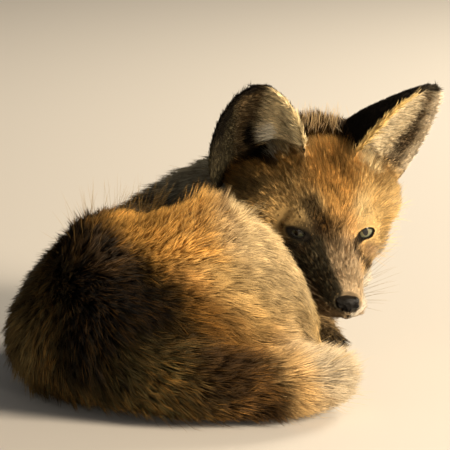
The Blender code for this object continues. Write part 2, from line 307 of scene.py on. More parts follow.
# For each part: the depth of its coat, how steeply its hair leaves the skin, and how steeply the tips
# stand, in radians. The head's depth changes from place to place, in coat_depth.
COATS = {
    "trunk": (6.0, 0.66, 0.26), "leg_hind_right": (6.0, 0.60, 0.24), "neck": (5.5, 0.62, 0.28),
    "tail": (9.0, 0.80, 0.42), "tail_tip": (8.5, 0.85, 0.50), "leg_front_left": (2.6, 0.42, 0.12),
    "leg_front_right": (2.6, 0.42, 0.12), "leg_hind_left": (3.0, 0.42, 0.12),
    "ear_left": (0.55, 0.28, 0.14), "ear_right": (0.55, 0.28, 0.14), "head": (0, 0.50, 0.20),
}


def eye_axes(side):
    """The eye's centre, the way its lids open, the line from its inner to its outer corner, and up."""
    gaze = unit(np.array((-0.07 if side > 0 else -0.26, 0.95, 0.24)))
    line = np.array((side * 0.90, -0.32, 0.34 if side > 0 else 0.20))
    line = unit(line - line @ gaze * gaze)
    up = np.cross(gaze, line) * side
    return EYE_AT * (side, 1, 1), gaze, line, up if up[2] > 0 else -up


def lid_edge(side, phi, spread=0.0):
    """The angles along and across the eye of a point on the edge of the lids."""
    height = (LID_TOP if math.sin(phi) > 0 else LID_BOTTOM)[side]
    a = (LID_REACH + spread) * math.cos(phi)
    return a, height * math.sin(phi) * (1 - 0.25 * math.cos(phi) ** 2)


def on_eye(side, a, b, radius):
    """The point at those angles and that distance from the eye's centre."""
    centre, gaze, line, up = eye_axes(side)
    d = math.cos(b) * (math.cos(a) * gaze + math.sin(a) * line) + math.sin(b) * up
    return centre + d * radius


def lid_ring(side):
    """The two lids of an eye as one ring of skin round an almond opening."""
    turns, steps = 40, 7
    verts, faces = [], []
    for base, swell in ((EYE_RADIUS + 0.10, 0.0), (EYE_RADIUS + 1.5, 0.9)):
        for j in range(steps):
            s = j / (steps - 1)
            for i in range(turns):
                phi = 2 * math.pi * i / turns
                a, b = lid_edge(side, phi)
                a += (LID_FAR * math.cos(phi) - a) * s
                b += (LID_FAR * math.sin(phi) - b) * s
                verts.append(on_eye(side, a, b, base + swell * min(1.0, 2.0 * s)))
    n = steps * turns
    for layer in range(2):
        for j in range(steps - 1):
            for i in range(turns):
                k = (i + 1) % turns
                q = [j * turns + i, j * turns + k, (j + 1) * turns + k, (j + 1) * turns + i]
                q = [layer * n + x for x in q]
                faces.append(q[::-1] if layer else q)
    low = (steps - 1) * turns
    for i in range(turns):
        k = (i + 1) % turns
        faces += [[i, k, n + k, n + i], [low + k, low + i, n + low + i, n + low + k]]
    return make_mesh("lids", from_head(verts), faces)


def flesh_solid():
    """The solids of flesh and the lids, swollen until they meet, as one mesh."""
    joined = bmesh.new()
    for name in FLESH:
        part = bmesh.new()
        part.from_mesh(NODES[name].data)
        bmesh.ops.remove_doubles(part, verts=part.verts, dist=1e-6)
        part.normal_update()
        for v in part.verts:
            v.co += v.normal * SWELL * MM
        join(joined, part)
    for side in (1, -1):
        lids = lid_ring(side)
        face_out(lids.data)
        joined.from_mesh(lids.data)
        bpy.data.objects.remove(lids)
    return place("skin", mesh_of("skin", joined))


def nearest_node(points):
    """For each point, the index in FLESH of the solid that it lies on."""
    verts, polys, owner = [], [], []
    for index, name in enumerate(FLESH):
        v, t = arrays(NODES[name].data)
        polys.extend((t + len(verts)).tolist())
        verts.extend(v.tolist())
        owner.extend([index] * len(t))
    tree = BVHTree.FromPolygons(verts, polys)
    return np.array(owner)[[tree.find_nearest(p)[2] for p in points.tolist()]]


def coat_depth(v, region):
    """How far under the tips of the coat the skin lies."""
    h = to_head(v)
    x, _, z = to_body(v).T
    part = dict(zip(FLESH, region.T))
    side, forward, up = np.abs(h[:, 0]), h[:, 1], h[:, 2]
    head = 4.3 - 2.6 * ramp(-34, -6, forward) - 0.7 * ramp(0, 22, forward)
    head -= 1.6 * ramp(-26, -36, forward) * ramp(5, 18, up)
    head += 1.6 * ramp(24, 36, side) * ramp(6, -14, forward) * ramp(12, -12, up)
    for sign in (1, -1):
        head *= 0.02 + 0.98 * ramp(8.8, 15, size(h - EYE_AT * (sign, 1, 1)))
    head *= 0.1 + 0.9 * ramp(5, 13, size(h - (0, 40, -14)))
    made = part["head"] * head
    for name, (depth, _, _) in COATS.items():
        made += part[name] * depth
    made -= 1.6 * ramp(6, 30, x) * part["leg_hind_right"]
    feet = np.minimum(1, 0.25 + ramp(0, 16, z))
    paw = ramp(18, 10, z) * (x > 22) * sum(part[n] for n in FLESH if n.startswith("leg"))
    return (made * (1 - 0.75 * paw)) * np.maximum(feet, 0.3)


def keep_fine(skin):
    """Fewer faces on the body, with the head and the ears left as fine as they are."""
    v, t = arrays(skin.data)
    h = to_head(v)
    fine = ramp(-60, -45, h[:, 1]) * ramp(95, 85, size(h))
    group = skin.vertex_groups.new(name="coarse")
    for level in range(11):
        group.add(np.flatnonzero(np.round((1 - fine) * 10) == level).tolist(), level / 10, "REPLACE")
    reduce = skin.modifiers.new("reduce", "DECIMATE")
    reduce.ratio = min(1.0, SKIN_FACES / len(t))
    reduce.vertex_group = "coarse"
    reduce.vertex_group_factor = 4.0
    apply_modifiers(skin)
    skin.vertex_groups.clear()


def build_skin():
    skin = flesh_solid()
    voxel_remesh(skin, SKIN_VOXEL)
    keep_fine(skin)
    v, t = arrays(skin.data)
    web = Web(len(v), t)
    region = np.zeros((len(v), len(FLESH)))
    region[np.arange(len(v)), nearest_node(v)] = 1
    region = web.smooth(region, 14)
    for _ in range(4):  # takes away the steps of the voxels
        v = web.level(v, -0.52)
    depth = web.smooth(coat_depth(v, region), 6)
    h = to_head(v)
    lid_zone = np.zeros(len(v))
    for sign in (1, -1):
        lid_zone = np.maximum(lid_zone, ramp(13, 10, size(h - EYE_AT * (sign, 1, 1))))
    ears = np.clip(region[:, FLESH.index("ear_left")] + region[:, FLESH.index("ear_right")], 0, 1)
    steps = 6
    for _ in range(steps):  # the skin sinks below the tips of the coat
        n = vertex_normals(v, t)
        n = mix(n, unit(web.smooth(n, 5)), ears)
        v = v - n * ((depth + SWELL) / steps)[:, None]
        v = mix(web.smooth(v, 2), v, np.maximum(lid_zone, ears))
    for _ in range(6):
        v = mix(v, web.level(v, -0.51), ears)
    v[:, 2] = np.maximum(v[:, 2], GROUND_GAP)
    return skin, v, t, web, region, depth


# SV, ST and SN are the skin's vertices, triangles and normals; SB and SH are its vertices in body
# coordinates and in head coordinates. WEB joins them, REGION tells their nodes, DEPTH how deep they lie.
SKIN, SV, ST, WEB, REGION, DEPTH = build_skin()
SN, SB, SH = vertex_normals(SV, ST), to_body(SV), to_head(SV)


def share(*names):
    """How much each vertex of the skin belongs to those nodes."""
    return sum(REGION[:, FLESH.index(n)] for n in names)


HEAD = share("head")
EARS = share("ear_left", "ear_right")
EAR_PART = np.clip(EARS, 0, 1)
TAIL = share("tail", "tail_tip")
LEGS = share("leg_front_left", "leg_front_right", "leg_hind_left")
HAUNCH = share("leg_hind_right")
TRUNK = share("trunk")
NECK = share("neck")
PAWS = ramp(20, 12, SB[:, 2]) * ramp(24, 34, SB[:, 0]) * (LEGS + HAUNCH)


# ---------------------------------------------------------------- which way the hair lies


def drawn(line):
    """The line as close points."""
    line = np.array(line, float)
    pieces = [np.linspace(a, b, 12, endpoint=False) for a, b in zip(line, line[1:])]
    return np.concatenate(pieces + [line[-1:]])


def line_flow(points, line):
    """The direction of the line beside each point."""
    fine = drawn(line)
    return unit(np.gradient(fine, axis=0))[nearest(points, fine)]


def along_line(points, line):
    """How far along the line, from 0 to 1, each point is."""
    fine = drawn(line)
    length = np.concatenate(([0], np.cumsum(size(np.diff(fine, axis=0)))))
    return length[nearest(points, fine)] / length[-1]


def ear_frame(side):
    """An ear's base, its length, and the axes towards its tip, its outer edge and its opening."""
    base = EAR_BASE * (side, 1, 1)
    up = EAR_TIPS[side] - base
    length = size(up)
    up = up / length
    opening = unit(EAR_OPENINGS[side] - EAR_OPENINGS[side] @ up * up)
    outer = np.cross(opening, up)
    return base, length, up, outer * np.sign(outer[0] * side), opening


def ear_place(side):
    """How far up an ear (0 to 1) and across it (-1 to 1) the skin is, and how far it faces the opening."""
    base, length, up, outer, opening = ear_frame(side)
    return (SH - base) @ up / length, (SH - base) @ outer / EAR_HALF_WIDTH, (SN @ HEAD_AXES.T) @ opening


def flow_field():
    flow = np.zeros_like(SV)
    for name, line in LINES.items():
        weight = share(name)
        used = weight > 0.001
        flow[used] += line_flow(SB[used], line) * weight[used, None]
    # The head's hair runs back from the nose; on the cheeks it also runs down and out.
    side = np.sign(SH[:, 0])
    cheek = ramp(16, 34, np.abs(SH[:, 0])) * ramp(20, -5, SH[:, 1])
    aside = np.stack((0.35 * side, 0 * side, -0.45 + 0 * side), axis=1)
    flow += (unit(unit(SH - (0.0, 45.0, -20.0)) + cheek[:, None] * aside) @ HEAD_AXES) * HEAD[:, None]
    # Behind the ears the hair runs to their tips; inside it runs from the inner edge to the outer.
    for name, s in EAR_SIDES:
        _, _, up, outer, _ = ear_frame(s)
        run, across, facing = ear_place(s)
        inside = ramp(-0.30, 0.10, facing)[:, None]
        tuft = ramp(0.60, 0.35, run) * ramp(0.5, 0.1, across)
        rise = 0.50 + 0.45 * ramp(0.0, 0.8, across) - 0.55 * tuft * (1.0 if s < 0 else 0.25)
        aside = 0.85 - 0.35 * ramp(0.0, 0.8, across)
        hollow = rise[:, None] * up + aside[:, None] * outer
        behind = up + 0.25 * outer * np.sign(across)[:, None]
        flow += (unit(behind * (1 - inside) + hollow * inside) @ HEAD_AXES) * share(name)[:, None]
    # The rump's and haunch's hair, seen from behind, runs right and down, and fans out from one place.
    x, y, z = SB.T
    over = ramp(-75, -40, x) * (ramp(60, 25, y) * (TRUNK + HAUNCH))
    flow = mix(flow, (0.80, -0.25, -0.50), np.clip(over * 0.85, 0, 1))
    left = ramp(-70, -100, x) * ramp(90, 40, y) * TRUNK
    flow = mix(flow, (-0.30, -0.55, -0.80), left * 0.8)
    front = ramp(75, 45, y)
    middle = np.array((-34.0, 5.0, 70.0))
    fan = SB - middle
    fan = np.stack((20 + np.maximum(fan[:, 0], 0), 0.3 * fan[:, 1] - 6, fan[:, 2] - 6), axis=1)
    radial = (HAUNCH + 0.8 * TRUNK) * front * ramp(115, 70, size(SB - middle))
    flow = mix(flow, unit(fan), np.clip(radial * 0.9, 0, 1))
    crest = ramp(72, 84, z) * front * TRUNK
    flow = mix(flow, (0.40, -0.15, 0.90), np.clip(crest * 0.9, 0, 1))
    plume = blob(SB[:, [0, 2]], (-4, 94), (24, 15)) * front * (TRUNK + HAUNCH)
    upward = np.stack((0.035 * (x + 4), -0.25 + 0 * front, 1 + 0 * front), axis=1)
    flow = mix(flow, unit(upward), np.clip(1.3 * plume, 0, 0.85))
    flow = unit(mix(WEB.smooth(flow, 30), WEB.smooth(flow, 6), EAR_PART))
    body = (1 - np.clip(HEAD + EARS, 0, 1))[:, None]
    for grain, amount in ((22, 0.42), (9, 0.34)):
        swirl = np.stack([noise(SB, grain, 31 + grain + k) for k in range(3)], axis=1)
        flow += amount * (0.25 + 0.75 * body - 0.2 * EAR_PART[:, None]) * swirl
    flow -= (flow * SN).sum(1, keepdims=True) * SN
    return unit(flow)


FLOW = flow_field()

# ---------------------------------------------------------------- markings

BLACK = np.array((0.013, 0.010, 0.007))
BROWN = np.array((0.060, 0.033, 0.012))
UMBER = np.array((0.23, 0.118, 0.032))
RUST = np.array((0.56, 0.255, 0.045))
BUFF = np.array((0.82, 0.510, 0.160))
CREAM = np.array((0.92, 0.660, 0.310))
WHITE = np.array((0.93, 0.85, 0.70))
TAN = np.array((0.80, 0.600, 0.370))
GREY = np.array((0.21, 0.195, 0.145))
FACE = np.array((0.92, 0.540, 0.170))
IVORY = (0.97, 0.90, 0.72)
LIP = (0.045, 0.030, 0.026)
MOUTH = [(0, 42, -20.5), (6, 38, -22.0), (10.5, 28, -23.6), (14, 14, -24.5), (18, 0, -23.5)]
# The hindquarters' colours from dark to pale. The darkest are partly the fur's own dark brown and partly
# painted shade.
HIND = ((-0.6, (0.005, 0.004, 0.0015)), (0.0, (0.031, 0.019, 0.005)), (0.5, (0.22, 0.110, 0.028)),
        (1.0, (0.47, 0.265, 0.082)), (1.6, (0.54, 0.360, 0.140)), (2.4, (0.44, 0.310, 0.138)),
        (3.2, (0.46, 0.340, 0.168)), (4.2, (0.55, 0.420, 0.23)))


def segment_gap(p, a, b):
    """Distance of points from the segment between a and b."""
    a, b = np.array(a, float), np.array(b, float)
    t = np.clip((p - a) @ (b - a) / ((b - a) @ (b - a)), 0, 1)
    return size(p - (a + t[:, None] * (b - a)))


def path_gap(p, path):
    return np.min([segment_gap(p, a, b) for a, b in zip(path, path[1:])], axis=0)


def mirrored(p):
    return np.stack((np.abs(p[:, 0]), p[:, 1], p[:, 2]), axis=1)


def painted(made, *layers):
    """The colours with each layer's colour mixed in as far as its mask says."""
    for colour, mask in layers:
        made = mix(made, colour, mask)
    return made


def eye_oval(side):
    """1 at the edge of an eye's opening, more further out; and the distance past its inner corner."""
    centre, gaze, line, lift = eye_axes(side)
    d = unit(SH - centre)
    a, b = np.arctan2(d @ line, d @ gaze), np.arcsin(np.clip(d @ lift, -1, 1))
    far = 20 * (size(SH - centre) > 14)
    oval = np.hypot(a / (LID_REACH + 0.06), b / (np.where(b > 0, LID_TOP[side], LID_BOTTOM[side]) + 0.06))
    return oval + far, np.hypot((a + LID_REACH + 0.12) * 0.8, b + 0.10) + far


def from_dark():
    """On the hindquarters: below 0 in the dark, 1 where the brown turns pale, 2.4 on the pale thigh. The dark
    side is partly the fur's own dark brown and partly painted shade of the side turned from the light.
    """
    x, _, z = SB.T
    heights = (10, 20, 30, 40, 50, 60, 70, 80, 88)
    dark = np.interp(z, heights, (8, -8, -18, -19, -20, -25, -38, -46, -50))
    pale = np.interp(z, heights, (28, 22, 15, 7, -1, -11, -22, -34, -42))
    made = (x - dark) / (pale - dark)
    return made + 0.22 * noise(SB, 24, 1) + 0.20 * noise(SB, 9, 2) + 0.10 * noise(SB, 4, 5)


def body_colours():
    x, y, z = SB.T
    t = from_dark()
    near, nearer = ramp(80, 50, y), ramp(70, 50, y)
    places, colours = zip(*HIND)
    made = np.stack([np.interp(t, places, channel) for channel in zip(*colours)], axis=1)
    clumps = ramp(0.0, 0.55, noise(SB, 7, 15)) * ramp(-0.3, 0.2, t) * ramp(1.7, 1.0, t)
    made = made * (1 - 0.55 * clumps[:, None])
    ridge = ramp(0, 9, z - 71 - 10 * ramp(-44, -62, x) + 5 * noise(SB, 9, 16)) * ramp(0, -16, x) * near
    spots = ramp(0.0, 0.5, noise(SB, 6, 20)) * ramp(90, 76, z) * ramp(66, 74, z) * ramp(-8, -20, x)
    whorl = np.clip(1.6 * (blob(SB[:, [0, 2]], (-62, 80), (15, 10)) * nearer), 0, 1)
    flank = np.maximum(ramp(-72, -98, x) * ramp(80, 60, z), 0.45 * ramp(32, 14, z) * ramp(-20, -50, x))
    cleft = path_gap(SB * (1, 0, 1), [(-4, 0, 97), (0, 0, 84), (2, 0, 74)]) + 1.5 * noise(SB, 6, 17)
    # Further from the tail the back is grey-brown with rust in it, and the belly paler.
    away = ramp(62, 112, y + 6 * noise(SB, 20, 3))
    # The grey is lighter on top of the back and darker below: painted light and shade.
    grey = GREY * (0.60 + 0.50 * ramp(76, 86, z))[:, None]
    back = mix(mix(UMBER * 0.75, GREY, 0.6), RUST * 0.6, ramp(0.0, 0.9, noise(SB, 26, 4)) * 0.4)
    back = mix(back, grey, ramp(85, 120, y) * 0.95)
    return painted(
        made,
        ((0.66, 0.36, 0.085), ridge * ramp(-94, -80, x) * 0.9),
        (BROWN, spots * near * 0.75),
        (BLACK * 2, whorl * 0.9),
        # the left flank: the fur's olive, made lighter as painted light because that side lies in shade
        ((0.16, 0.120, 0.050), flank * 0.85),
        # a painted shadow along the cleft where the haunch meets the rump
        ((0.17, 0.10, 0.045), ramp(3.6, 0.8, cleft) * ramp(70, 40, y) * 0.75),
        (back, away),
        (mix(GREY, CREAM, 0.45), ramp(-46, -26, x) * ramp(60, 90, y) * ramp(70, 40, z)))


def tail_colours():
    run = along_line(SB, LINES["tail"]) + 0.03 * noise(SB, 9, 5) + 0.004 * (SB[:, 2] - 24)
    made = mix(BROWN * 0.45, (0.062, 0.034, 0.013), ramp(-0.3, 0.6, noise(SB, 11, 6)))
    made = mix((0.070, 0.056, 0.020), made, ramp(0.18, 0.42, run))
    return painted(
        made,
        ((0.50, 0.33, 0.140), ramp(0.565, 0.655, run)),
        (mix(CREAM, WHITE, 0.6) * 0.60, ramp(0.66, 0.76, run)))


def leg_colours():
    return mix(BLACK * 3.2, (0.20, 0.135, 0.062), ramp(6, 20, SB[:, 2] + 4 * noise(SB, 12, 7)))


def head_colours():
    h = mirrored(SH)
    side, forward, up = h.T
    left = SH[:, 0]
    wob = noise(SB, 9, 8)
    brindle = ramp(17, 5, side) * ramp(-38, -14, forward) * ramp(16, 6, forward)
    crown = ramp(-38, -46, forward + 2 * wob) * ramp(-2, 10, up)
    snout = ramp(-2, 12, forward)
    flecks = snout * ramp(0.25, 0.7, noise(SB, 2.4, 14)) * ramp(11, 6, side) * ramp(36, 26, forward)
    bridge = blob(SH, (-2, 8, -1), (9, 15, 12), 1.3)
    tear = path_gap(h, [(11.9, 5.5, -0.2), (10.6, 10.0, -3.4), (13.1, 12.5, -7.1), (17.2, 12.3, -12.4),
                        (18.8, 12.0, -16.0)])
    tear = tear + 0.5 * wob - np.interp(up, (-14, -6, 0), (3.6, 3.0, 2.2))
    # On the right side the white reaches less far up the lip. The dark above it there is painted shade.
    lip_line = np.where(left < 0, -18.5, np.interp(forward, (0, 10, 18, 28), (-18.5, -16.5, -14.0, -13.5)))
    lip = ramp(0, -2.4, up - lip_line + 0.7 * wob) * ramp(-6, 6, forward)
    cheek = ramp(-8, -15, up + 1.5 * wob + 0.25 * (30 - side)) * ramp(10, 0, forward)
    made = painted(
        mix(FACE, RUST * 1.3, ramp(-0.3, 0.8, noise(SB, 14, 9)) * 0.35),
        # Between and above the eyes the gold is brindled with brown.
        (UMBER * 1.1, brindle * (0.12 + 0.62 * ramp(-0.1, 0.6, noise(SB, 3.6, 10)))),
        ((0.96, 0.690, 0.310), ramp(8, 22, side) * ramp(-34, -16, forward) * 0.75),
        ((1.0, 0.79, 0.42), blob(h, (13, -6, 11), (11, 13, 12), 1.4) * 0.85),
        (BROWN * 0.9, crown * 0.95),
        ((0.31, 0.215, 0.115), ramp(-54, -60, forward) * 0.85),
        # The muzzle: tan on top, dark along the sides from the eye's inner corner, white at the lip.
        (TAN * 0.92, snout * ramp(19, 10, side)),
        (UMBER * 0.9, flecks * 0.65),
        ((0.15, 0.092, 0.036), bridge * (0.55 + 0.30 * ramp(-0.3, 0.5, noise(SB, 3, 18)))),
        ((0.37, 0.235, 0.125), blob(h, (20.5, 4.5, -9.5), (12, 12, 10), 1.4) * 0.85),
        (BROWN * 0.9, ramp(0, -2.0, tear) * 0.92),
        (WHITE * 0.9, lip * 0.95),
        ((0.40, 0.27, 0.15), ramp(-18, -20, up) * ramp(26, 36, forward) * 0.8),
        (TAN * 1.1, ramp(-26.0, -28.5, up) * ramp(18, 26, forward) * 0.75),
        (WHITE * 0.60, cheek * 0.92),
        (WHITE * 0.9, ramp(-26, -31, up) * ramp(-40, -10, forward)))
    made = made * (1 - 0.30 * ramp(22, 32, side) * (left > 0))[:, None]
    # At the foot of the left ear the gold is made brighter as painted light, where the light catches it.
    made = mix(made, (1.0, 0.83, 0.50), blob(SH, (25, -30, 19), (13, 11, 11), 1.6) * 0.92)
    # The side of the face that is turned from the light is darker.
    made = made * mix(np.ones(3), (0.70, 0.67, 0.62), ramp(-2, -20, left))
    # Painted shade on the right temple.
    made = made * (1 - 0.56 * blob(SH, (-37, -26, 11), (15, 15, 13), 1.5))[:, None]
    # Painted shade on the right side of the muzzle, up to a line near its ridge. It is near black, and
    # browner towards the lip and in a spot under the right eye.
    bound = np.interp(forward, (-6, 5, 14, 22, 29, 35, 42), (-9.0, -6.0, -5.2, -5.0, -4.0, -2.9, -2.0))
    painted_shade_side = ramp(1.6, -2.2, left - bound + 0.8 * wob) * ramp(-3, 5, forward)
    shade = mix((0.098, 0.086, 0.052), (0.40, 0.265, 0.13), ramp(-14.5, -18, up))
    shade = mix(shade, (0.17, 0.112, 0.058), blob(SH, (-17.5, 7.5, -5.5), (6, 6, 4), 1.5) * 0.8)
    stop = blob(SH, (-2, 1, 6), (13, 9, 9), 1.4) * (0.56 + 0.36 * ramp(-0.1, 0.5, noise(SB, 3.2, 22)))
    # A painted shadow of the right brow, from above the eye to its inner corner.
    brow = path_gap(SH, [(-14.5, -5.0, 14.5), (-10.3, 0.0, 9.0), (-7.5, 3.0, 4.0)]) + 0.8 * wob
    # Below the right ear the hollow of the ear runs out into the temple. The pale gold there is partly
    # painted light on hair that the ear shades, and the black of the ear's pit carried onto the head is
    # painted shade.
    fringe = blob(SH, (-19, -37, 24), (8, 9, 8), 1.6)
    fold = path_gap(SH, [(-28.5, -48, 12), (-27, -37, 16.5), (-25.5, -31, 18)]) + wob
    tuft = path_gap(SH, [(-22.5, -45, 19), (-23, -37, 20)]) + 0.6 * wob
    made = painted(
        made,
        (shade, painted_shade_side * 0.95),
        ((0.22, 0.125, 0.042), stop),
        (BROWN, ramp(6.5, 2.0, brow) * 0.82),
        ((1.0, 0.82, 0.47), fringe * 0.85),
        (BLACK * 1.2, ramp(4.5, 2.2, fold) * 0.95),
        (IVORY, ramp(3.8, 2.0, tuft) * 0.9))
    # Dark rims round the eyes, drawn out at both corners. Round the right eye the dark reaches much further
    # out, as painted shade.
    for sign in (1, -1):
        oval, corner = eye_oval(sign)
        eye = EYE_AT * (sign, 1, 1)
        outer = path_gap(SH, [eye + (sign * 4.8, 4.0, 0.6), eye + (sign * 9.5, 0.0, 2.2)])
        made = painted(
            made,
            (BLACK * 0.6, ramp(1.10, 1.00, oval) if sign > 0 else ramp(1.75, 1.25, oval)),
            (BLACK * 1.3, ramp(0.26, 0.12, corner)),
            (BLACK * 1.6, ramp(1.3, 0.5, outer)))
    return mix(made, LIP, ramp(1.5, 0.7, path_gap(h, MOUTH)))


def ear_colours(side):
    run, across, facing = ear_place(side)
    wob = noise(SB, 7, 12)
    widths = (0.86, 0.97, 1.02, 1.03, 1.01, 0.97, 0.90, 0.80, 0.66, 0.47, 0.18)
    width = np.interp(run, np.linspace(0, 1, 11), widths)
    edge = across / width + 0.06 * wob
    back = mix(UMBER, BLACK, ramp(0.04, 0.22, run + 0.05 * wob))
    foot, foot_colour = ramp(0.20, 0.06, run) * 0.85, np.array((0.92, 0.64, 0.27))
    spot = np.stack((run, across), 1)
    if side > 0:
        rim = np.maximum(ramp(0.98, 1.04, edge), ramp(0.925, 0.965, run + 0.02 * wob))
        gap = across - np.interp(run, (0.1, 0.3, 0.5, 0.7, 0.9), (0.76, 0.80, 0.72, 0.52, 0.12)) + 0.07 * wob
        stripe = ramp(0.17, 0.03, np.abs(gap)) * ramp(1.0, 0.90, run)
        low = ramp(0.30, 0.18, run) * ramp(0.0, 0.6, noise(SB, 4, 17)) * ramp(0.1, 0.4, across)
        hollow = painted(
            mix((0.66, 0.48, 0.19), (0.65, 0.55, 0.37), ramp(-0.6, 0.0, across)),
            ((0.69, 0.60, 0.46), ramp(0.08, 0.2, gap)),
            (BROWN * 1.4, stripe * (0.58 + 0.34 * ramp(-0.3, 0.5, noise(SB, 5, 16)))),
            (BROWN * 2, low * 0.6),
            (foot_colour, foot))
    else:
        rim = np.maximum(ramp(0.66, 0.80, edge) * ramp(0.25, 0.5, run),
                         ramp(0.88, 0.93, run + 0.03 * wob) * ramp(-0.9, -0.4, edge))
        fold = 0.28 * ramp(0.42, 0.56, run)
        hollow = painted(
            mix((1.0, 0.84, 0.50), (0.98, 0.80, 0.46), ramp(-0.75, -0.45, across)),
            (BROWN * 1.5, ramp(0.1, 0.6, noise(SB, 2.2, 19)) * 0.65),
            (BROWN * 1.1, ramp(-1.6 * fold, 0.20 - 0.9 * fold, across) * 0.92),
            ((0.085, 0.075, 0.044), ramp(0.30, 0.60, across) * 0.8),
            # the dark pit in the middle of the right ear: painted shade in its recess
            (BLACK * 0.8, blob(spot, (0.36, 0.02), (0.30, 0.30), 1.8)),
            (IVORY, blob(spot, (0.40, -0.36), (0.18, 0.26), 2.2) * 0.97),
            (foot_colour * 0.8, foot * ramp(0.0, -0.3, across)))
    return mix(back, mix(hollow, BLACK, rim * 0.95), ramp(-0.30, 0.0, facing))


def coat_colours():
    x, _, z = SB.T
    # The nape's grey is lighter on top and darker below, and much lighter where the rump's shadow falls on
    # it. This is painted light and shade.
    painted_light_patch = ramp(-44, -24, x) * ramp(70, 80, z)
    nape = GREY * (0.60 + 0.50 * ramp(76, 86, z) + 1.1 * painted_light_patch)[:, None]
    made = body_colours() * (TRUNK + HAUNCH)[:, None]
    made += mix(nape, UMBER * 0.8, 0.10 + 0.15 * noise(SB, 15, 13)) * NECK[:, None]
    made += tail_colours() * TAIL[:, None]
    made += leg_colours() * LEGS[:, None]
    made += head_colours() * HEAD[:, None]
    for name, side in EAR_SIDES:
        made += ear_colours(side) * share(name)[:, None]
    return np.clip(mix(made, BLACK * 2.2, PAWS * 0.85), 0.002, 1)


TIP = coat_colours()
HEADLIKE = np.clip(HEAD + EARS, 0, 1)
# Tips are darker where the hair is short and paler where it is long: painted shade in the gaps between the
# tufts and painted light on their tops.
TUFTED = (0.24 * noise(SB, 10, 41) + 0.15 * noise(SB, 22, 42)) * (1 - 0.6 * HEADLIKE) \
    * (1 - 0.55 * ramp(0.18, 0.40, TIP.mean(1)))
TIP = capped(TIP * np.exp(TUFTED)[:, None], 0.002)
LEVEL = TIP.mean(1)
PALE = ramp(0.12, 0.42, LEVEL)
# On the pale parts of the ears, and more at the ears' feet, the roots are made as pale as the tips. This is
# painted light for hair that lies in shade.
EAR_FEET = 1.5 * np.maximum(blob(SH, (-20, -38, 23), (10, 10, 9)), blob(SH, (25, -30, 19), (13, 11, 11)))
ROOT = TIP * (0.30 + 0.36 * PALE - 0.12 * np.clip(HEAD, 0, 1) + 0.34 * EAR_PART * PALE
              + 0.44 * np.clip(EAR_FEET, 0, 1) * HEAD)[:, None]


# ---------------------------------------------------------------- grooves and the skin's mesh


def finish_skin():
    """Presses the line of the mouth into the skin; colours it as hair roots, and round the eyes as tips."""
    global SV, SN, SB, SH
    groove = np.exp(-(path_gap(mirrored(SH), MOUTH) / 0.85) ** 2) * HEAD
    SV = SV - SN * groove[:, None]
    SN = vertex_normals(SV, ST)
    SB, SH = to_body(SV), to_head(SV)
    move_points(SKIN.data, SV)
    lids = 1 - ramp(1.05, 1.4, eye_oval(1)[0]) * ramp(1.05, 1.4, eye_oval(-1)[0])
    colour_points(SKIN.data, mix(ROOT, TIP, lids))
    SKIN.data.update()


def unwrap_skin():
    """Smart UV map of the skin; each vertex keeps the place of one of its corners."""
    bpy.ops.object.select_all(action="DESELECT")
    bpy.context.view_layer.objects.active = SKIN
    SKIN.select_set(True)
    SKIN.data.uv_layers.new(name="OFBake")
    bpy.ops.object.mode_set(mode="EDIT")
    bpy.ops.mesh.select_all(action="SELECT")
    bpy.ops.uv.smart_project(angle_limit=math.radians(72), island_margin=0.0015)
    bpy.ops.object.mode_set(mode="OBJECT")
    uv = np.empty(len(SKIN.data.loops) * 2, np.float32)
    SKIN.data.uv_layers["OFBake"].data.foreach_get("uv", uv)
    corner = np.empty(len(SKIN.data.loops), np.int32)
    SKIN.data.loops.foreach_get("vertex_index", corner)
    made = np.zeros((len(SV), 2))
    made[corner] = uv.reshape(-1, 2)
    return made


finish_skin()
SKIN_UV = unwrap_skin()

# ---------------------------------------------------------------- materials


def material(name, colour=None, roughness=0.7, varnish=0.0, bump=0.0, bump_scale=400.0, **sockets):
    """A Principled material, coloured by the mesh's Coat attribute unless a colour is given."""
    made = bpy.data.materials.new(name)
    made.use_nodes = True
    nodes, links = made.node_tree.nodes, made.node_tree.links
    shader = nodes["Principled BSDF"]
    if colour is None:
        source = nodes.new("ShaderNodeAttribute")
        source.attribute_name = "Coat"
        links.new(source.outputs["Color"], shader.inputs["Base Color"])
    else:
        grain = nodes.new("ShaderNodeTexNoise")
        grain.inputs["Scale"].default_value = 900.0
        shades = nodes.new("ShaderNodeValToRGB")
        for stop, level in zip(shades.color_ramp.elements, (0.75, 1.25)):
            stop.color = (*[c * level for c in colour], 1)
        links.new(grain.outputs["Fac"], shades.inputs["Fac"])
        links.new(shades.outputs["Color"], shader.inputs["Base Color"])
    shader.inputs["Roughness"].default_value = roughness
    shader.inputs["Coat Weight"].default_value = varnish
    shader.inputs["Coat Roughness"].default_value = 0.04
    for key, value in sockets.items():
        shader.inputs[key.replace("_", " ")].default_value = value
    if bump:
        pores = nodes.new("ShaderNodeTexNoise")
        pores.inputs["Scale"].default_value = bump_scale
        pores.inputs["Detail"].default_value = 5
        relief = nodes.new("ShaderNodeBump")
        relief.inputs["Strength"].default_value = bump
        relief.inputs["Distance"].default_value = 0.0006
        links.new(pores.outputs["Fac"], relief.inputs["Height"])
        links.new(relief.outputs["Normal"], shader.inputs["Normal"])
    return made


HAIR = material("hair", roughness=0.55, bump=0.25, bump_scale=2500.0, Specular_IOR_Level=0.07)
HIDE = material("hide", roughness=0.85, bump=0.9, bump_scale=1300.0, Specular_IOR_Level=0.10)
LEATHER = material("leather", colour=(0.006, 0.005, 0.004), roughness=0.34, bump=0.9, bump_scale=2000.0,
                   Specular_IOR_Level=0.25)

# ---------------------------------------------------------------- tufts

PATCH = 0.003  # the side of one hair's place on the UV map
ROOM = np.array(BEFORE) / MM + np.array(((-8.0, -8.0, 0.25), (8.0, 8.0, 8.0)))  # no hair leaves this box
PIECE_HAIRS = {0: 49_500, 1: 19_900}  # by the rings of a hair: keeps a piece under 200,000 triangles


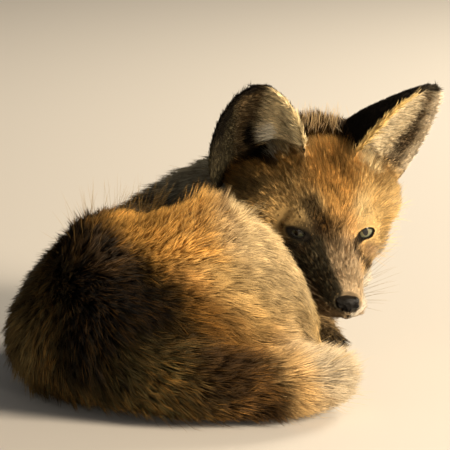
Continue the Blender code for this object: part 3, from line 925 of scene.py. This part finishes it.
def hair_mesh(name, hairs, rings):
    """Closed three-sided tapering hairs, all of one piece, bent along a curve from root to tip."""
    root, knee, tip = hairs["root"], hairs["knee"], hairs["tip"]
    count, sides = len(root), 3
    per = sides * (rings + 1) + 1
    verts, tint, uv = np.empty((count, per, 3)), np.empty((count, per, 3)), np.empty((count, per, 2))
    for k in range(rings + 1):
        t = k / (rings + 1)
        centre = (1 - t) ** 2 * root + 2 * t * (1 - t) * knee + t * t * tip
        tangent = unit((1 - t) * (knee - root) + t * (tip - knee))
        across = unit(np.cross(tangent, hairs["normal"]))
        lift = np.cross(across, tangent)
        half = (hairs["width"] * 0.5 * (1 - t) ** 0.55)[:, None]
        for s in range(sides):
            angle = math.pi / 2 + 2 * math.pi * s / sides
            row = k * sides + s
            verts[:, row] = centre + half * (math.cos(angle) * across + 0.8 * math.sin(angle) * lift)
            tint[:, row] = mix(hairs["dark"], hairs["light"], min(1.0, 1.25 * t))
            uv[:, row] = hairs["uv"] + PATCH * np.array((s / sides, t))
    verts[:, -1], tint[:, -1] = tip, hairs["light"]
    uv[:, -1] = hairs["uv"] + PATCH * np.array((0.5, 1.0))
    faces = [(2, 1, 0)]
    for k in range(rings):
        for s in range(sides):
            a, b = k * sides + s, k * sides + (s + 1) % sides
            faces += [(a, b, b + sides), (a, b + sides, a + sides)]
    top = rings * sides
    faces += [(top + s, top + (s + 1) % sides, per - 1) for s in range(sides)]
    faces = np.array(faces, np.int32)
    corners = (np.arange(count, dtype=np.int32)[:, None, None] * per + faces).ravel()
    mesh = bpy.data.meshes.new(name)
    mesh.vertices.add(count * per)
    move_points(mesh, np.clip(verts, ROOM[0], ROOM[1]))
    mesh.loops.add(len(corners))
    mesh.loops.foreach_set("vertex_index", corners)
    mesh.polygons.add(count * len(faces))
    mesh.polygons.foreach_set("loop_start", np.arange(0, len(corners), 3, dtype=np.int32))
    mesh.polygons.foreach_set("loop_total", np.full(count * len(faces), 3, np.int32))
    mesh.update(calc_edges=True)
    mesh.shade_smooth()
    colour_points(mesh, np.clip(tint.reshape(-1, 3), 0.003, 1))
    layer = mesh.uv_layers.new(name="OFBake")
    layer.data.foreach_set("uv", uv.reshape(-1, 2)[corners].astype(np.float32).ravel())
    dress(place(name, mesh), HAIR)


def scatter(weight, density):
    """Random places on the skin: the triangle and the corner shares of each."""
    v0, v1, v2 = SV[ST[:, 0]], SV[ST[:, 1]], SV[ST[:, 2]]
    area = size(np.cross(v1 - v0, v2 - v0)) / 2
    chance = area * (weight * density)[ST].mean(1)
    count = int(chance.sum() * (1.0))
    chosen = RNG.choice(len(ST), count, p=chance / chance.sum())
    r = RNG.random((count, 2))
    root = np.sqrt(r[:, 0])
    return chosen, np.stack((1 - root, root * (1 - r[:, 1]), root * r[:, 1]), axis=1)


def at(values, spots):
    """The values that the skin's vertices have, at those places."""
    chosen, shares = spots
    return np.einsum("nc,nc...->n...", shares, values[ST[chosen]])


def clumped(hairs, spacing):
    """Draws the hairs' tips together in locks, each with a lean of its own, and gives each lock a shade."""
    root, length = hairs["root"], hairs["length"][:, None]
    count = len(root)
    seeds = RNG.choice(count, max(1, int(count / max(1.0, spacing))), replace=False)
    owner = nearest(root, root[seeds])
    lock = seeds[owner]
    sway = RNG.normal(0, 1, (len(seeds), 3))[owner] * hairs["wild"][:, None] * length
    sway -= (sway * hairs["normal"]).sum(1, keepdims=True) * hairs["normal"] * 0.6
    tip, knee = hairs["tip"] + sway, hairs["knee"] + 0.35 * sway
    pull = hairs["pull"] * RNG.uniform(0.5, 1.3, count)
    goal = tip[lock] + 0.15 * (root - root[lock])
    gap = size(goal - tip)[:, None]
    goal = tip + (goal - tip) * np.minimum(1, 0.45 * length / np.maximum(gap, 1e-6))
    hairs["tip"] = mix(tip, goal, pull)
    hairs["knee"] = mix(knee, knee + 0.4 * (goal - hairs["tip"]), pull)
    return RNG.normal(0, 1, len(seeds))[owner]


def tinted(light, dark, tone, shade, embers):
    """The colours of each hair: its lock's shade, its own, and some hairs tipped darker, paler or redder."""
    count = len(light)
    factor = np.exp(tone * shade + 0.5 * (tone + 0.06) * RNG.normal(0, 1, count))[:, None]
    kind = RNG.random(count)[:, None]
    level = light.mean(1, keepdims=True)
    ember = np.clip(1 - level / 0.16, 0, 1) * np.clip(level / 0.03 - 0.6, 0.12, 1) * embers
    tipped = np.where(kind < 0.14, light * 0.50, light)
    tipped = np.where(kind > 0.88, tipped * 1.4 + (0.002, 0.0015, 0.0), tipped)
    glow = (kind > 0.30) & (kind < 0.62)
    tipped = np.where(glow, tipped + (RUST * 0.75 - tipped) * ember * 0.62, tipped)
    return capped(tipped * factor, 0.0015), capped(dark * factor, 0.001)


def grow(name, weight, density, width, rings, lock=7.0, scale=1.0, shaggy=0.10, rise=0.0):
    """A coat piece over the part of the skin where weight is above nought."""
    spots = scatter(weight, density)
    normal, flow = unit(at(SN, spots)), unit(at(FLOW, spots))
    count = len(normal)
    length = at(LENGTH, spots) * RNG.uniform(0.70, 1.12, count) * scale
    jitter = RNG.normal(0, shaggy, (2, count))
    low = np.clip(at(ROOT_LIFT, spots) + jitter[0] + rise, 0.05, 1.5)[:, None]
    high = np.clip(at(TIP_LIFT, spots) + jitter[1] + rise, 0.0, 1.5)[:, None]
    across = np.cross(normal, flow)
    along = unit(flow + RNG.normal(0, shaggy * 1.3, count)[:, None] * across)
    root = at(SV, spots) - 0.35 * normal
    half = 0.5 * length[:, None]
    knee = root + half * (np.cos(low) * along + np.sin(low) * normal)
    bend = unit(along + RNG.normal(0, shaggy, count)[:, None] * across)
    hairs = {
        "root": root, "knee": knee, "tip": knee + half * (np.cos(high) * bend + np.sin(high) * normal),
        "normal": normal, "length": length, "width": width * RNG.uniform(0.7, 1.25, count),
        "pull": at(PULL, spots), "wild": at(WILD, spots),
    }
    shade = clumped(hairs, lock)
    hairs["light"], hairs["dark"] = tinted(at(TIP, spots), at(ROOT, spots), at(TONE, spots), shade,
                                           at(EMBER, spots)[:, None])
    chosen, shares = spots
    hairs["uv"] = SKIN_UV[ST[chosen, shares.argmax(1)]]
    pieces = math.ceil(count / PIECE_HAIRS[rings])
    order = np.argsort(root @ np.array((0.6, 0.7, 0.4)))
    for k, part in enumerate(np.array_split(order, pieces)):
        chunk = {key: value[part] for key, value in hairs.items()}
        low_uv, high_uv = chunk["uv"].min(0), chunk["uv"].max(0)
        chunk["uv"] = 0.004 + (chunk["uv"] - low_uv) / (high_uv - low_uv) * (0.992 - PATCH)
        hair_mesh(name if pieces == 1 else f"{name}_{k + 1}", chunk, rings)


def hair_lie():
    """How steeply the hair leaves the skin, how steeply its tip stands, and how long it is."""
    h = mirrored(SH)
    side, forward, up = h.T
    x, y, z = SB.T
    first, last = (sum(share(name) * row[k] for name, row in COATS.items()) for k in (1, 2))
    first, last = first - 0.06 * HEAD, last - 0.03 * HEAD
    snout = ramp(0, 16, forward) * HEAD
    first, last = first - 0.16 * snout, last - 0.10 * snout
    # Where the haunch meets the rump, and along the top of the rump, the hair stands up.
    ridge = np.maximum(ramp(70, 84, z) * ramp(-14, -26, x), blob(SB[:, [0, 2]], (-2, 96), (22, 22)))
    ridge = ridge * (ramp(80, 45, y) * (TRUNK + HAUNCH))
    first, last = first + 0.30 * ridge, last + 0.35 * ridge
    length = (1.12 - 0.12 * HEAD) * DEPTH / np.maximum(0.5 * np.sin(first) + 0.5 * np.sin(last), 0.12)
    far = ramp(-45, -60, x) * ramp(62, 76, z) * ramp(110, 60, y) * TRUNK
    length = np.clip(length * (1 + 0.14 * noise(SB, 10, 41) + 0.16 * far), 2.2, 26)
    outline = ramp(0.15, 0.65, SN[:, 0]) * HAUNCH
    first, last, length = first - 0.10 * outline, last - 0.10 * outline, length * (1 - 0.38 * outline)
    length = np.where(EARS > 0.5, 4.4, length)
    inside = np.zeros(len(SV))
    for name, s in EAR_SIDES:
        run, across, facing = ear_place(s)
        inside += share(name) * ramp(0.0, 0.4, facing) * ramp(1.0, 0.5, run) * ramp(0.8, -0.3, across)
    length = length + 6.0 * inside
    first = first + 0.22 * inside * (SH[:, 0] < 0)
    run, across, _ = ear_place(-1)
    first = first + 0.35 * blob(np.stack((run, across), 1), (0.42, -0.32), (0.24, 0.36)) * share("ear_right")
    # The hair of the forehead laps over the feet of both ears.
    collar = (blob(SH, (-20, -38, 21), (16, 11, 11)) + 0.7 * blob(SH, (23, -30, 20), (13, 9, 10))) * HEAD
    first, last, length = first + 0.45 * collar, last + 0.40 * collar, length * (1 + 0.55 * collar)
    fringe = blob(h, (21, 6, -14), (7, 9, 8)) * HEAD
    first, last, length = first + 0.50 * fringe, last + 0.45 * fringe, length * (1 + 0.90 * fringe)
    top = ramp(-42, -54, forward) * ramp(12, 20, up) * ramp(30, 22, side) * HEAD
    return first + 0.40 * top, last + 0.40 * top, length * (1 - 0.2 * top) + 5.0 * top


ROOT_LIFT, TIP_LIFT, LENGTH = hair_lie()
EAR_TONE = np.where(SB[:, 0] < 66, 0.10, -0.04) * EAR_PART  # the right ear's hairs differ more
TONE = 0.18 + 0.12 * ramp(0.42, 0.10, LEVEL) + 0.10 * HEADLIKE + EAR_TONE
DARK = ramp(0.42, 0.12, LEVEL)
PULL = 0.36 + 0.16 * DARK + 0.12 * HEADLIKE - 0.22 * EAR_PART
WILD = 0.07 + 0.07 * DARK + 0.02 * HEADLIKE - 0.06 * EAR_PART
EMBER = ramp(105, 75, SB[:, 1]) * (1 - 0.7 * EAR_PART) * (1 - NECK) + 0.6 * HEAD * ramp(75, 105, SB[:, 1])
UNDER = 1 - 0.75 * ramp(-0.55, -0.9, SN[:, 2]) * ramp(26, 8, SB[:, 2])
EYES_BARE = ramp(1.05, 1.2, eye_oval(1)[0]) * ramp(1.05, 1.2, eye_oval(-1)[0])
NOSE_BARE = ramp(3.6, 5.0, size((SH - (0, 41.2, -15.0)) / (1.3, 1, 1)))


def coat():
    forehead = ramp(-24, -20, SH[:, 1])
    face = HEAD * forehead * EYES_BARE * NOSE_BARE
    snout = ramp(4, 12, SH[:, 1])
    hollow = sum(share(name) * ramp(-0.25, 0.0, ear_place(s)[2]) for name, s in EAR_SIDES)
    near = ramp(96, 84, SB[:, 1])
    haunch, rump, back = HAUNCH * UNDER, TRUNK * UNDER * near, TRUNK * UNDER * (1 - near)
    peak = blob(SB[:, [0, 2]], (-4, 93), (20, 15)) * ramp(75, 50, SB[:, 1]) * (HAUNCH + TRUNK)
    tail, tail_tip = share("tail") * UNDER, share("tail_tip") * UNDER
    grow("coat_face", face * snout, 3.4, 0.40, 0, lock=3)
    grow("coat_brow", face * ramp(12, 4, SH[:, 1]), 3.2, 0.42, 0, lock=4)
    grow("coat_crown", HEAD * (1 - forehead), 2.8, 0.36, 0, lock=6, scale=0.9)
    grow("coat_ears", EARS - hollow, 2.7, 0.34, 0, lock=3, shaggy=0.13, scale=0.85)
    grow("coat_hollows", hollow, 2.1, 0.40, 1, lock=3, shaggy=0.12)
    grow("coat_haunch", haunch, 1.2, 0.48, 1, lock=16)
    grow("down_haunch", haunch, 1.6, 0.42, 0, lock=9, scale=0.72)
    grow("wisps_haunch", peak, 1.3, 0.42, 1, lock=30, scale=1.35, rise=0.60, shaggy=0.18)
    grow("coat_rump", rump, 1.0, 0.52, 1, lock=14)
    grow("down_rump", rump, 1.3, 0.46, 0, lock=9, scale=0.72)
    grow("coat_back", back, 0.50, 0.64, 1, lock=9)
    grow("down_back", back, 0.65, 0.64, 0, lock=9, scale=0.75)
    grow("coat_neck", NECK, 0.8, 0.60, 1, lock=9)
    grow("coat_tail", tail, 1.1, 0.48, 1, lock=10)
    grow("down_tail", tail, 1.2, 0.46, 0, lock=8, scale=0.75)
    grow("coat_tail_tip", tail_tip, 2.0, 0.36, 1, lock=9, shaggy=0.2)
    grow("coat_legs", LEGS * UNDER, 1.5, 0.46, 0, lock=5)


coat()

# ---------------------------------------------------------------- eyes, nose, claws and whiskers

TO_CAMERA = np.array((-0.364, 0.704, 0.609))  # along the head's axes
LOOK = 0.55  # how far the eyes turn to the camera
# The right eye's colours are made darker: painted shade.
EYE_LIGHT = {1: 0.85, -1: 0.17}  # the right eye lies in shade
PAW_ENDS = {
    "leg_hind_right": ((46, 35, 8.5), (30, 26, 11)), "leg_hind_left": ((46, 69, 8.5), (30, 66, 10.5)),
    "leg_front_right": ((53, 101, 8.5), (52, 112, 10.5)), "leg_front_left": ((49, 159, 8.5), (46, 170, 10.5)),
}


def eyeball(name, side):
    """A ball that swells over its iris, with a standing oval pupil and a dark ring round the iris. The iris
    is darker towards the top as painted shadow of the upper lid.
    """
    centre, gaze, line, _ = eye_axes(side)
    look = unit(gaze + LOOK * TO_CAMERA)
    ball = bmesh.new()
    bmesh.ops.create_uvsphere(ball, u_segments=128, v_segments=96, radius=1.0)
    mesh = mesh_of(name, ball)
    d = np.empty(len(mesh.vertices) * 3)
    mesh.vertices.foreach_get("co", d)
    d = unit(d.reshape(-1, 3))
    right = unit(line - line @ look * look)
    high = np.cross(look, right) * side
    high = high if high[2] > 0 else -high
    angle = np.arccos(np.clip(d[:, 2], -1, 1))
    turn = np.arctan2(d[:, 1], d[:, 0])
    swell = 1 + 0.065 * ramp(0.75, 0.0, angle)
    world = (d[:, 2:3] * look + d[:, 0:1] * right + d[:, 1:2] * high) * (EYE_RADIUS - 0.15) * swell[:, None]
    move_points(mesh, from_head(centre + world))
    fibres = 0.5 + 0.5 * np.sin(turn * 38 + 3 * np.sin(turn * 7)) * ramp(0.1, 0.5, angle)
    iris = mix((0.22, 0.20, 0.11), (0.18, 0.20, 0.13), ramp(0.20, 0.50, angle))
    # The iris is darker towards the top: painted shadow of the upper lid.
    iris = iris * (0.70 + 0.6 * fibres)[:, None] * (1 - 0.55 * ramp(0.10, 0.45, d[:, 1]))[:, None]
    pupil = np.hypot(d[:, 0] / 0.19, d[:, 1] / 0.34)
    made = painted(
        iris,
        (0.004, ramp(1.12, 0.92, pupil) * (d[:, 2] > 0)),
        ((0.02, 0.015, 0.01), ramp(0.56, 0.64, angle)),
        ((0.16, 0.11, 0.08), ramp(0.95, 1.2, angle)))
    colour_points(mesh, made * EYE_LIGHT[side])
    mesh.shade_smooth()
    face_out(mesh)
    shine = material("eye_" + name, roughness=0.12, varnish=1.0, Specular_IOR_Level=0.1)
    return dress(place(name, mesh), shine)


def lid_rim(name, side):
    """The wet dark edge of the lids: a thin tube along the opening."""
    turns, corners = 96, 8
    centre = eye_axes(side)[0]
    angles = [2 * math.pi * i / turns for i in range(turns)]
    path = np.array([on_eye(side, *lid_edge(side, phi, 0.02), EYE_RADIUS + 0.30) for phi in angles])
    verts, faces = [], []
    for i, phi in enumerate(angles):
        j = (i + 1) % turns
        out = unit(path[i] - centre)
        across = np.cross(unit(path[j] - path[i - 1]), out)
        thick = 0.24 + 0.16 * max(0.0, -math.sin(phi))
        for k in range(corners):
            t = 2 * math.pi * k / corners
            m = (k + 1) % corners
            verts.append(path[i] + thick * (math.cos(t) * across + math.sin(t) * out))
            faces.append((i * corners + k, j * corners + k, j * corners + m, i * corners + m))
    rim = make_mesh(name, from_head(verts), faces)
    face_out(rim.data)
    dress(rim, LEATHER)


def nose_leather():
    joined = bmesh.new()
    for middle, radius in (
            ((0, 38.4, -13.9), (5.9, 4.5, 2.7)), ((0, 40.0, -15.4), (2.7, 3.8, 4.0)),
            ((4.3, 38.4, -13.9), (2.8, 4.3, 2.3)), ((-4.3, 38.4, -13.9), (2.8, 4.3, 2.3)),
            ((0, 39.4, -17.8), (1.9, 3.1, 2.6)), ((0, 36.6, -15.2), (3.6, 4.0, 3.0))):
        part = bmesh.new()
        bmesh.ops.create_icosphere(part, subdivisions=4, radius=1.0)
        for v in part.verts:
            v.co = Vector(from_head(np.array(v.co) * radius + middle) * MM)
        bmesh.ops.recalc_face_normals(part, faces=part.faces)
        join(joined, part)
    nose = place("nose_leather", mesh_of("nose_leather", joined))
    voxel_remesh(nose, 0.28)
    v, t = arrays(nose.data)
    v = Web(len(v), t).smooth(v, 6)
    h = mirrored(to_head(v))
    nostril = [(2.7, 43.2, -15.0), (3.6, 42.9, -13.4), (5.0, 41.6, -13.2), (7.0, 38.8, -14.0)]
    cleft = np.exp(-(h[:, 0] / 0.40) ** 2) * ramp(-12.5, -15.0, h[:, 2]) * ramp(38, 42, h[:, 1])
    sink = 2.1 * np.exp(-(path_gap(h, nostril) / 0.95) ** 2) + 0.7 * cleft
    pebbles = 0.10 * noise(v, 0.9, 21)
    move_points(nose.data, v - vertex_normals(v, t) * (sink + pebbles)[:, None])
    nose.data.update()
    nose.data.shade_smooth()
    dress(nose, LEATHER)
    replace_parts(nose, "nose")


def claws():
    """Four bent cones on each paw."""
    verts, faces = [], []
    steps, sides = 7, 8
    for end, before in PAW_ENDS.values():
        end = np.array(end, float)
        way = unit((end - before) * (1, 1, 0))
        across = np.array((-way[1], way[0], 0))
        for offset, reach in ((-7.6, 4.0), (-2.7, 7.5), (2.7, 7.5), (7.6, 4.0)):
            root = end + across * offset + way * (reach + 4.6)
            root[2] = 5.4
            base = len(verts)
            for k in range(steps):
                t = k / (steps - 1)
                centre = root + way * 5.0 * t + np.array((0, 0, -3.6 * t * t))
                r = 0.95 * (1 - t) ** 0.7 + 0.05
                for s in range(sides):
                    a = 2 * math.pi * s / sides
                    around = math.cos(a) * across + 1.2 * math.sin(a) * np.array((0, 0, 1))
                    verts.append(SHIFT + centre + r * around)
            for k in range(steps - 1):
                for s in range(sides):
                    m = (s + 1) % sides
                    a, b = base + k * sides, base + (k + 1) * sides
                    faces.append((a + s, a + m, b + m, b + s))
            faces.append(tuple(base + s for s in range(sides))[::-1])
            faces.append(tuple(base + (steps - 1) * sides + s for s in range(sides)))
    verts = np.array(verts)
    verts[:, 2] = np.maximum(verts[:, 2], GROUND_GAP)
    made = make_mesh("claws", verts, faces)
    face_out(made.data)
    dress(made, material("claw", colour=(0.05, 0.04, 0.032), roughness=0.4, varnish=0.2))


def free_hairs(name, roots, ways, lengths, width, light, dark, droop, rings):
    """Single long hairs, such as whiskers, that leave the coat one by one."""
    roots, ways = np.array(roots, float), unit(np.array(ways, float))
    count = len(roots)
    lengths = np.asarray(lengths, float)[:, None]
    knee = roots + ways * lengths * 0.55
    bend = unit(ways + np.array((0, 0, -1.0)) * droop + RNG.normal(0, 0.06, (count, 3)))
    uv = np.stack((np.linspace(0.01, 0.98, count), 0.01 + 0.97 * (np.arange(count) * 0.618 % 1)), 1)
    hairs = {
        "root": roots, "knee": knee, "tip": knee + bend * lengths * 0.45,
        "normal": unit(np.cross(ways, (0.3, 0.5, 0.2))), "width": np.full(count, width),
        "dark": np.tile(dark, (count, 1)), "light": np.tile(light, (count, 1)), "uv": uv,
    }
    hair_mesh(name, hairs, rings)


def whiskers():
    roots, ways, lengths = [], [], []
    for s in (1, -1):
        for row in range(4):
            for k in range(5):
                way = np.array((s * (0.95 + 0.1 * row), 0.10 - 0.24 * k, 0.62 - 0.24 * row))
                roots.append(from_head((s * (8.6 + 0.9 * k), 33 - 4.2 * k, -17.2 - 1.35 * row)))
                ways.append(unit(way + RNG.normal(0, 0.07, 3)) @ HEAD_AXES)
                lengths.append(17 + 5.0 * k + RNG.uniform(-2, 4))
        for k in range(4):
            roots.append(from_head((s * (13 + 2.4 * k), -2.0 - 2 * k, 8.5)))
            ways.append(unit(np.array((s * 0.35, 0.55, 0.75)) + RNG.normal(0, 0.1, 3)) @ HEAD_AXES)
            lengths.append(13)
    free_hairs("whiskers", roots, ways, lengths, 0.22, TAN * 0.45, BROWN, droop=0.12, rings=6)


def guard_hairs():
    """Long sparse hairs that stand out of the coat along the back, the rump, the cheeks and the crown."""
    side, forward, up = mirrored(SH).T
    x, _, z = SB.T
    back = TRUNK * ramp(76, 84, z) * ramp(-18, -34, x)
    neck = NECK * ramp(50, 80, z)
    crown = HEAD * ramp(-44, -54, forward) * ramp(16, 24, up)
    cheek = HEAD * ramp(24, 31, side) * ramp(20, 0, forward) * ramp(-26, -12, forward) * ramp(12, 0, up)
    thigh = HAUNCH * ramp(1.6, 2.2, from_dark()) * ramp(0.15, -0.10, SN[:, 0]) * ramp(0.0, -0.3, SN[:, 1])
    for name, slot, weight, count, reach, width, rise, light, dark in (
            ("guard_back", "fur_back", back, 130, (16, 28), 0.17, 1.0, BUFF * 0.55, BROWN),
            ("guard_neck", "fur_back", neck, 90, (14, 22), 0.18, 0.9, BUFF * 0.7, BROWN),
            ("guard_crown", "fur_face", crown, 150, (6, 14), 0.20, 1.2, CREAM, TAN),
            ("guard_cheek", "fur_face", cheek, 160, (8, 14), 0.24, 0.50, CREAM, BUFF),
            ("guard_haunch", "fur_flank", thigh, 90, (14, 20), 0.22, 0.40, CREAM * 0.7, BUFF * 0.7),
            ("guard_tail", "fur_back", share("tail"), 160, (14, 20), 0.22, 0.5, UMBER, BROWN),
            ("guard_tip", "fur_white", share("tail_tip"), 140, (12, 20), 0.20, 0.6, CREAM * 0.9,
             CREAM * 0.7)):
        chance = weight[ST].mean(1)
        chosen = RNG.choice(len(ST), count, p=chance / chance.sum())
        spots = chosen, RNG.dirichlet((1, 1, 1), count)
        normal = unit(at(SN, spots))
        way = at(FLOW, spots) * math.cos(rise) + normal * math.sin(rise) + RNG.normal(0, 0.16, (count, 3))
        lengths = RNG.uniform(*reach, count)
        free_hairs(name, at(SV, spots) + normal, way, lengths, width, light, dark, droop=0.05, rings=3)


SKIN.data.materials.clear()
SKIN.data.shade_smooth()
dress(SKIN, HIDE)
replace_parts(SKIN, *FLESH)
for eye_side, eye_name in ((1, "left"), (-1, "right")):
    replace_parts(eyeball("ball_" + eye_name, eye_side), "eye_" + eye_name)
    lid_rim("rim_" + eye_name, eye_side)
nose_leather()
claws()
whiskers()
guard_hairs()

# ---------------------------------------------------------------- floor, light and camera

LAMPS = (
    ("key", (1.36, -0.96, 0.74), 0.70, 65.0, (1.0, 0.82, 0.60)),
    ("catch", (0.47, -1.21, 0.15), 0.12, 3.6, (1.0, 0.90, 0.76)),
    ("fill", (-1.1, -1.2, 0.8), 1.2, 1.4, (1.0, 0.94, 0.86)),
    ("rim", (0.9, 1.1, 0.9), 0.6, 24.0, (1.0, 0.86, 0.66)),
)


def stage():
    """The floor, the lamps, the sky's light and the camera; the lamps and the camera stand in metres."""
    corners = [(-4000, -3000, 0), (4000, -3000, 0), (4000, 9000, 0), (-4000, 9000, 0)]
    floor = make_mesh("floor", corners, [(0, 1, 2, 3)])
    paper = bpy.data.materials.new("paper")
    paper.use_nodes = True
    surface = paper.node_tree.nodes["Principled BSDF"]
    surface.inputs["Base Color"].default_value = (0.66, 0.64, 0.61, 1)
    surface.inputs["Roughness"].default_value = 0.9
    floor.data.materials.append(paper)
    for name, spot, width, power, colour in LAMPS:
        data = bpy.data.lights.new(name, "AREA")
        data.size, data.energy, data.color = width, power, colour
        lamp = place(name, data)
        lamp.location = spot
        lamp.rotation_euler = (Vector((0.02, 0, 0.05)) - Vector(spot)).to_track_quat("-Z", "Y").to_euler()
    world = bpy.data.worlds.new("studio")
    world.use_nodes = True
    sky = world.node_tree.nodes["Background"]
    sky.inputs["Color"].default_value = (0.60, 0.57, 0.53, 1)
    sky.inputs["Strength"].default_value = 0.16
    bpy.context.scene.world = world
    data = bpy.data.cameras.new("camera")
    data.lens, data.sensor_width = 308.8, 36.0
    data.clip_start, data.clip_end = 0.1, 50.0
    camera = place("camera", data)
    camera.location = Vector(SHIFT * MM) + Vector((0, -1.8525, 0.4565))
    camera.rotation_euler = (math.radians(90 - 11), 0, 0)
    bpy.context.scene.camera = camera
    bpy.context.scene.view_settings.view_transform = "Standard"


stage()
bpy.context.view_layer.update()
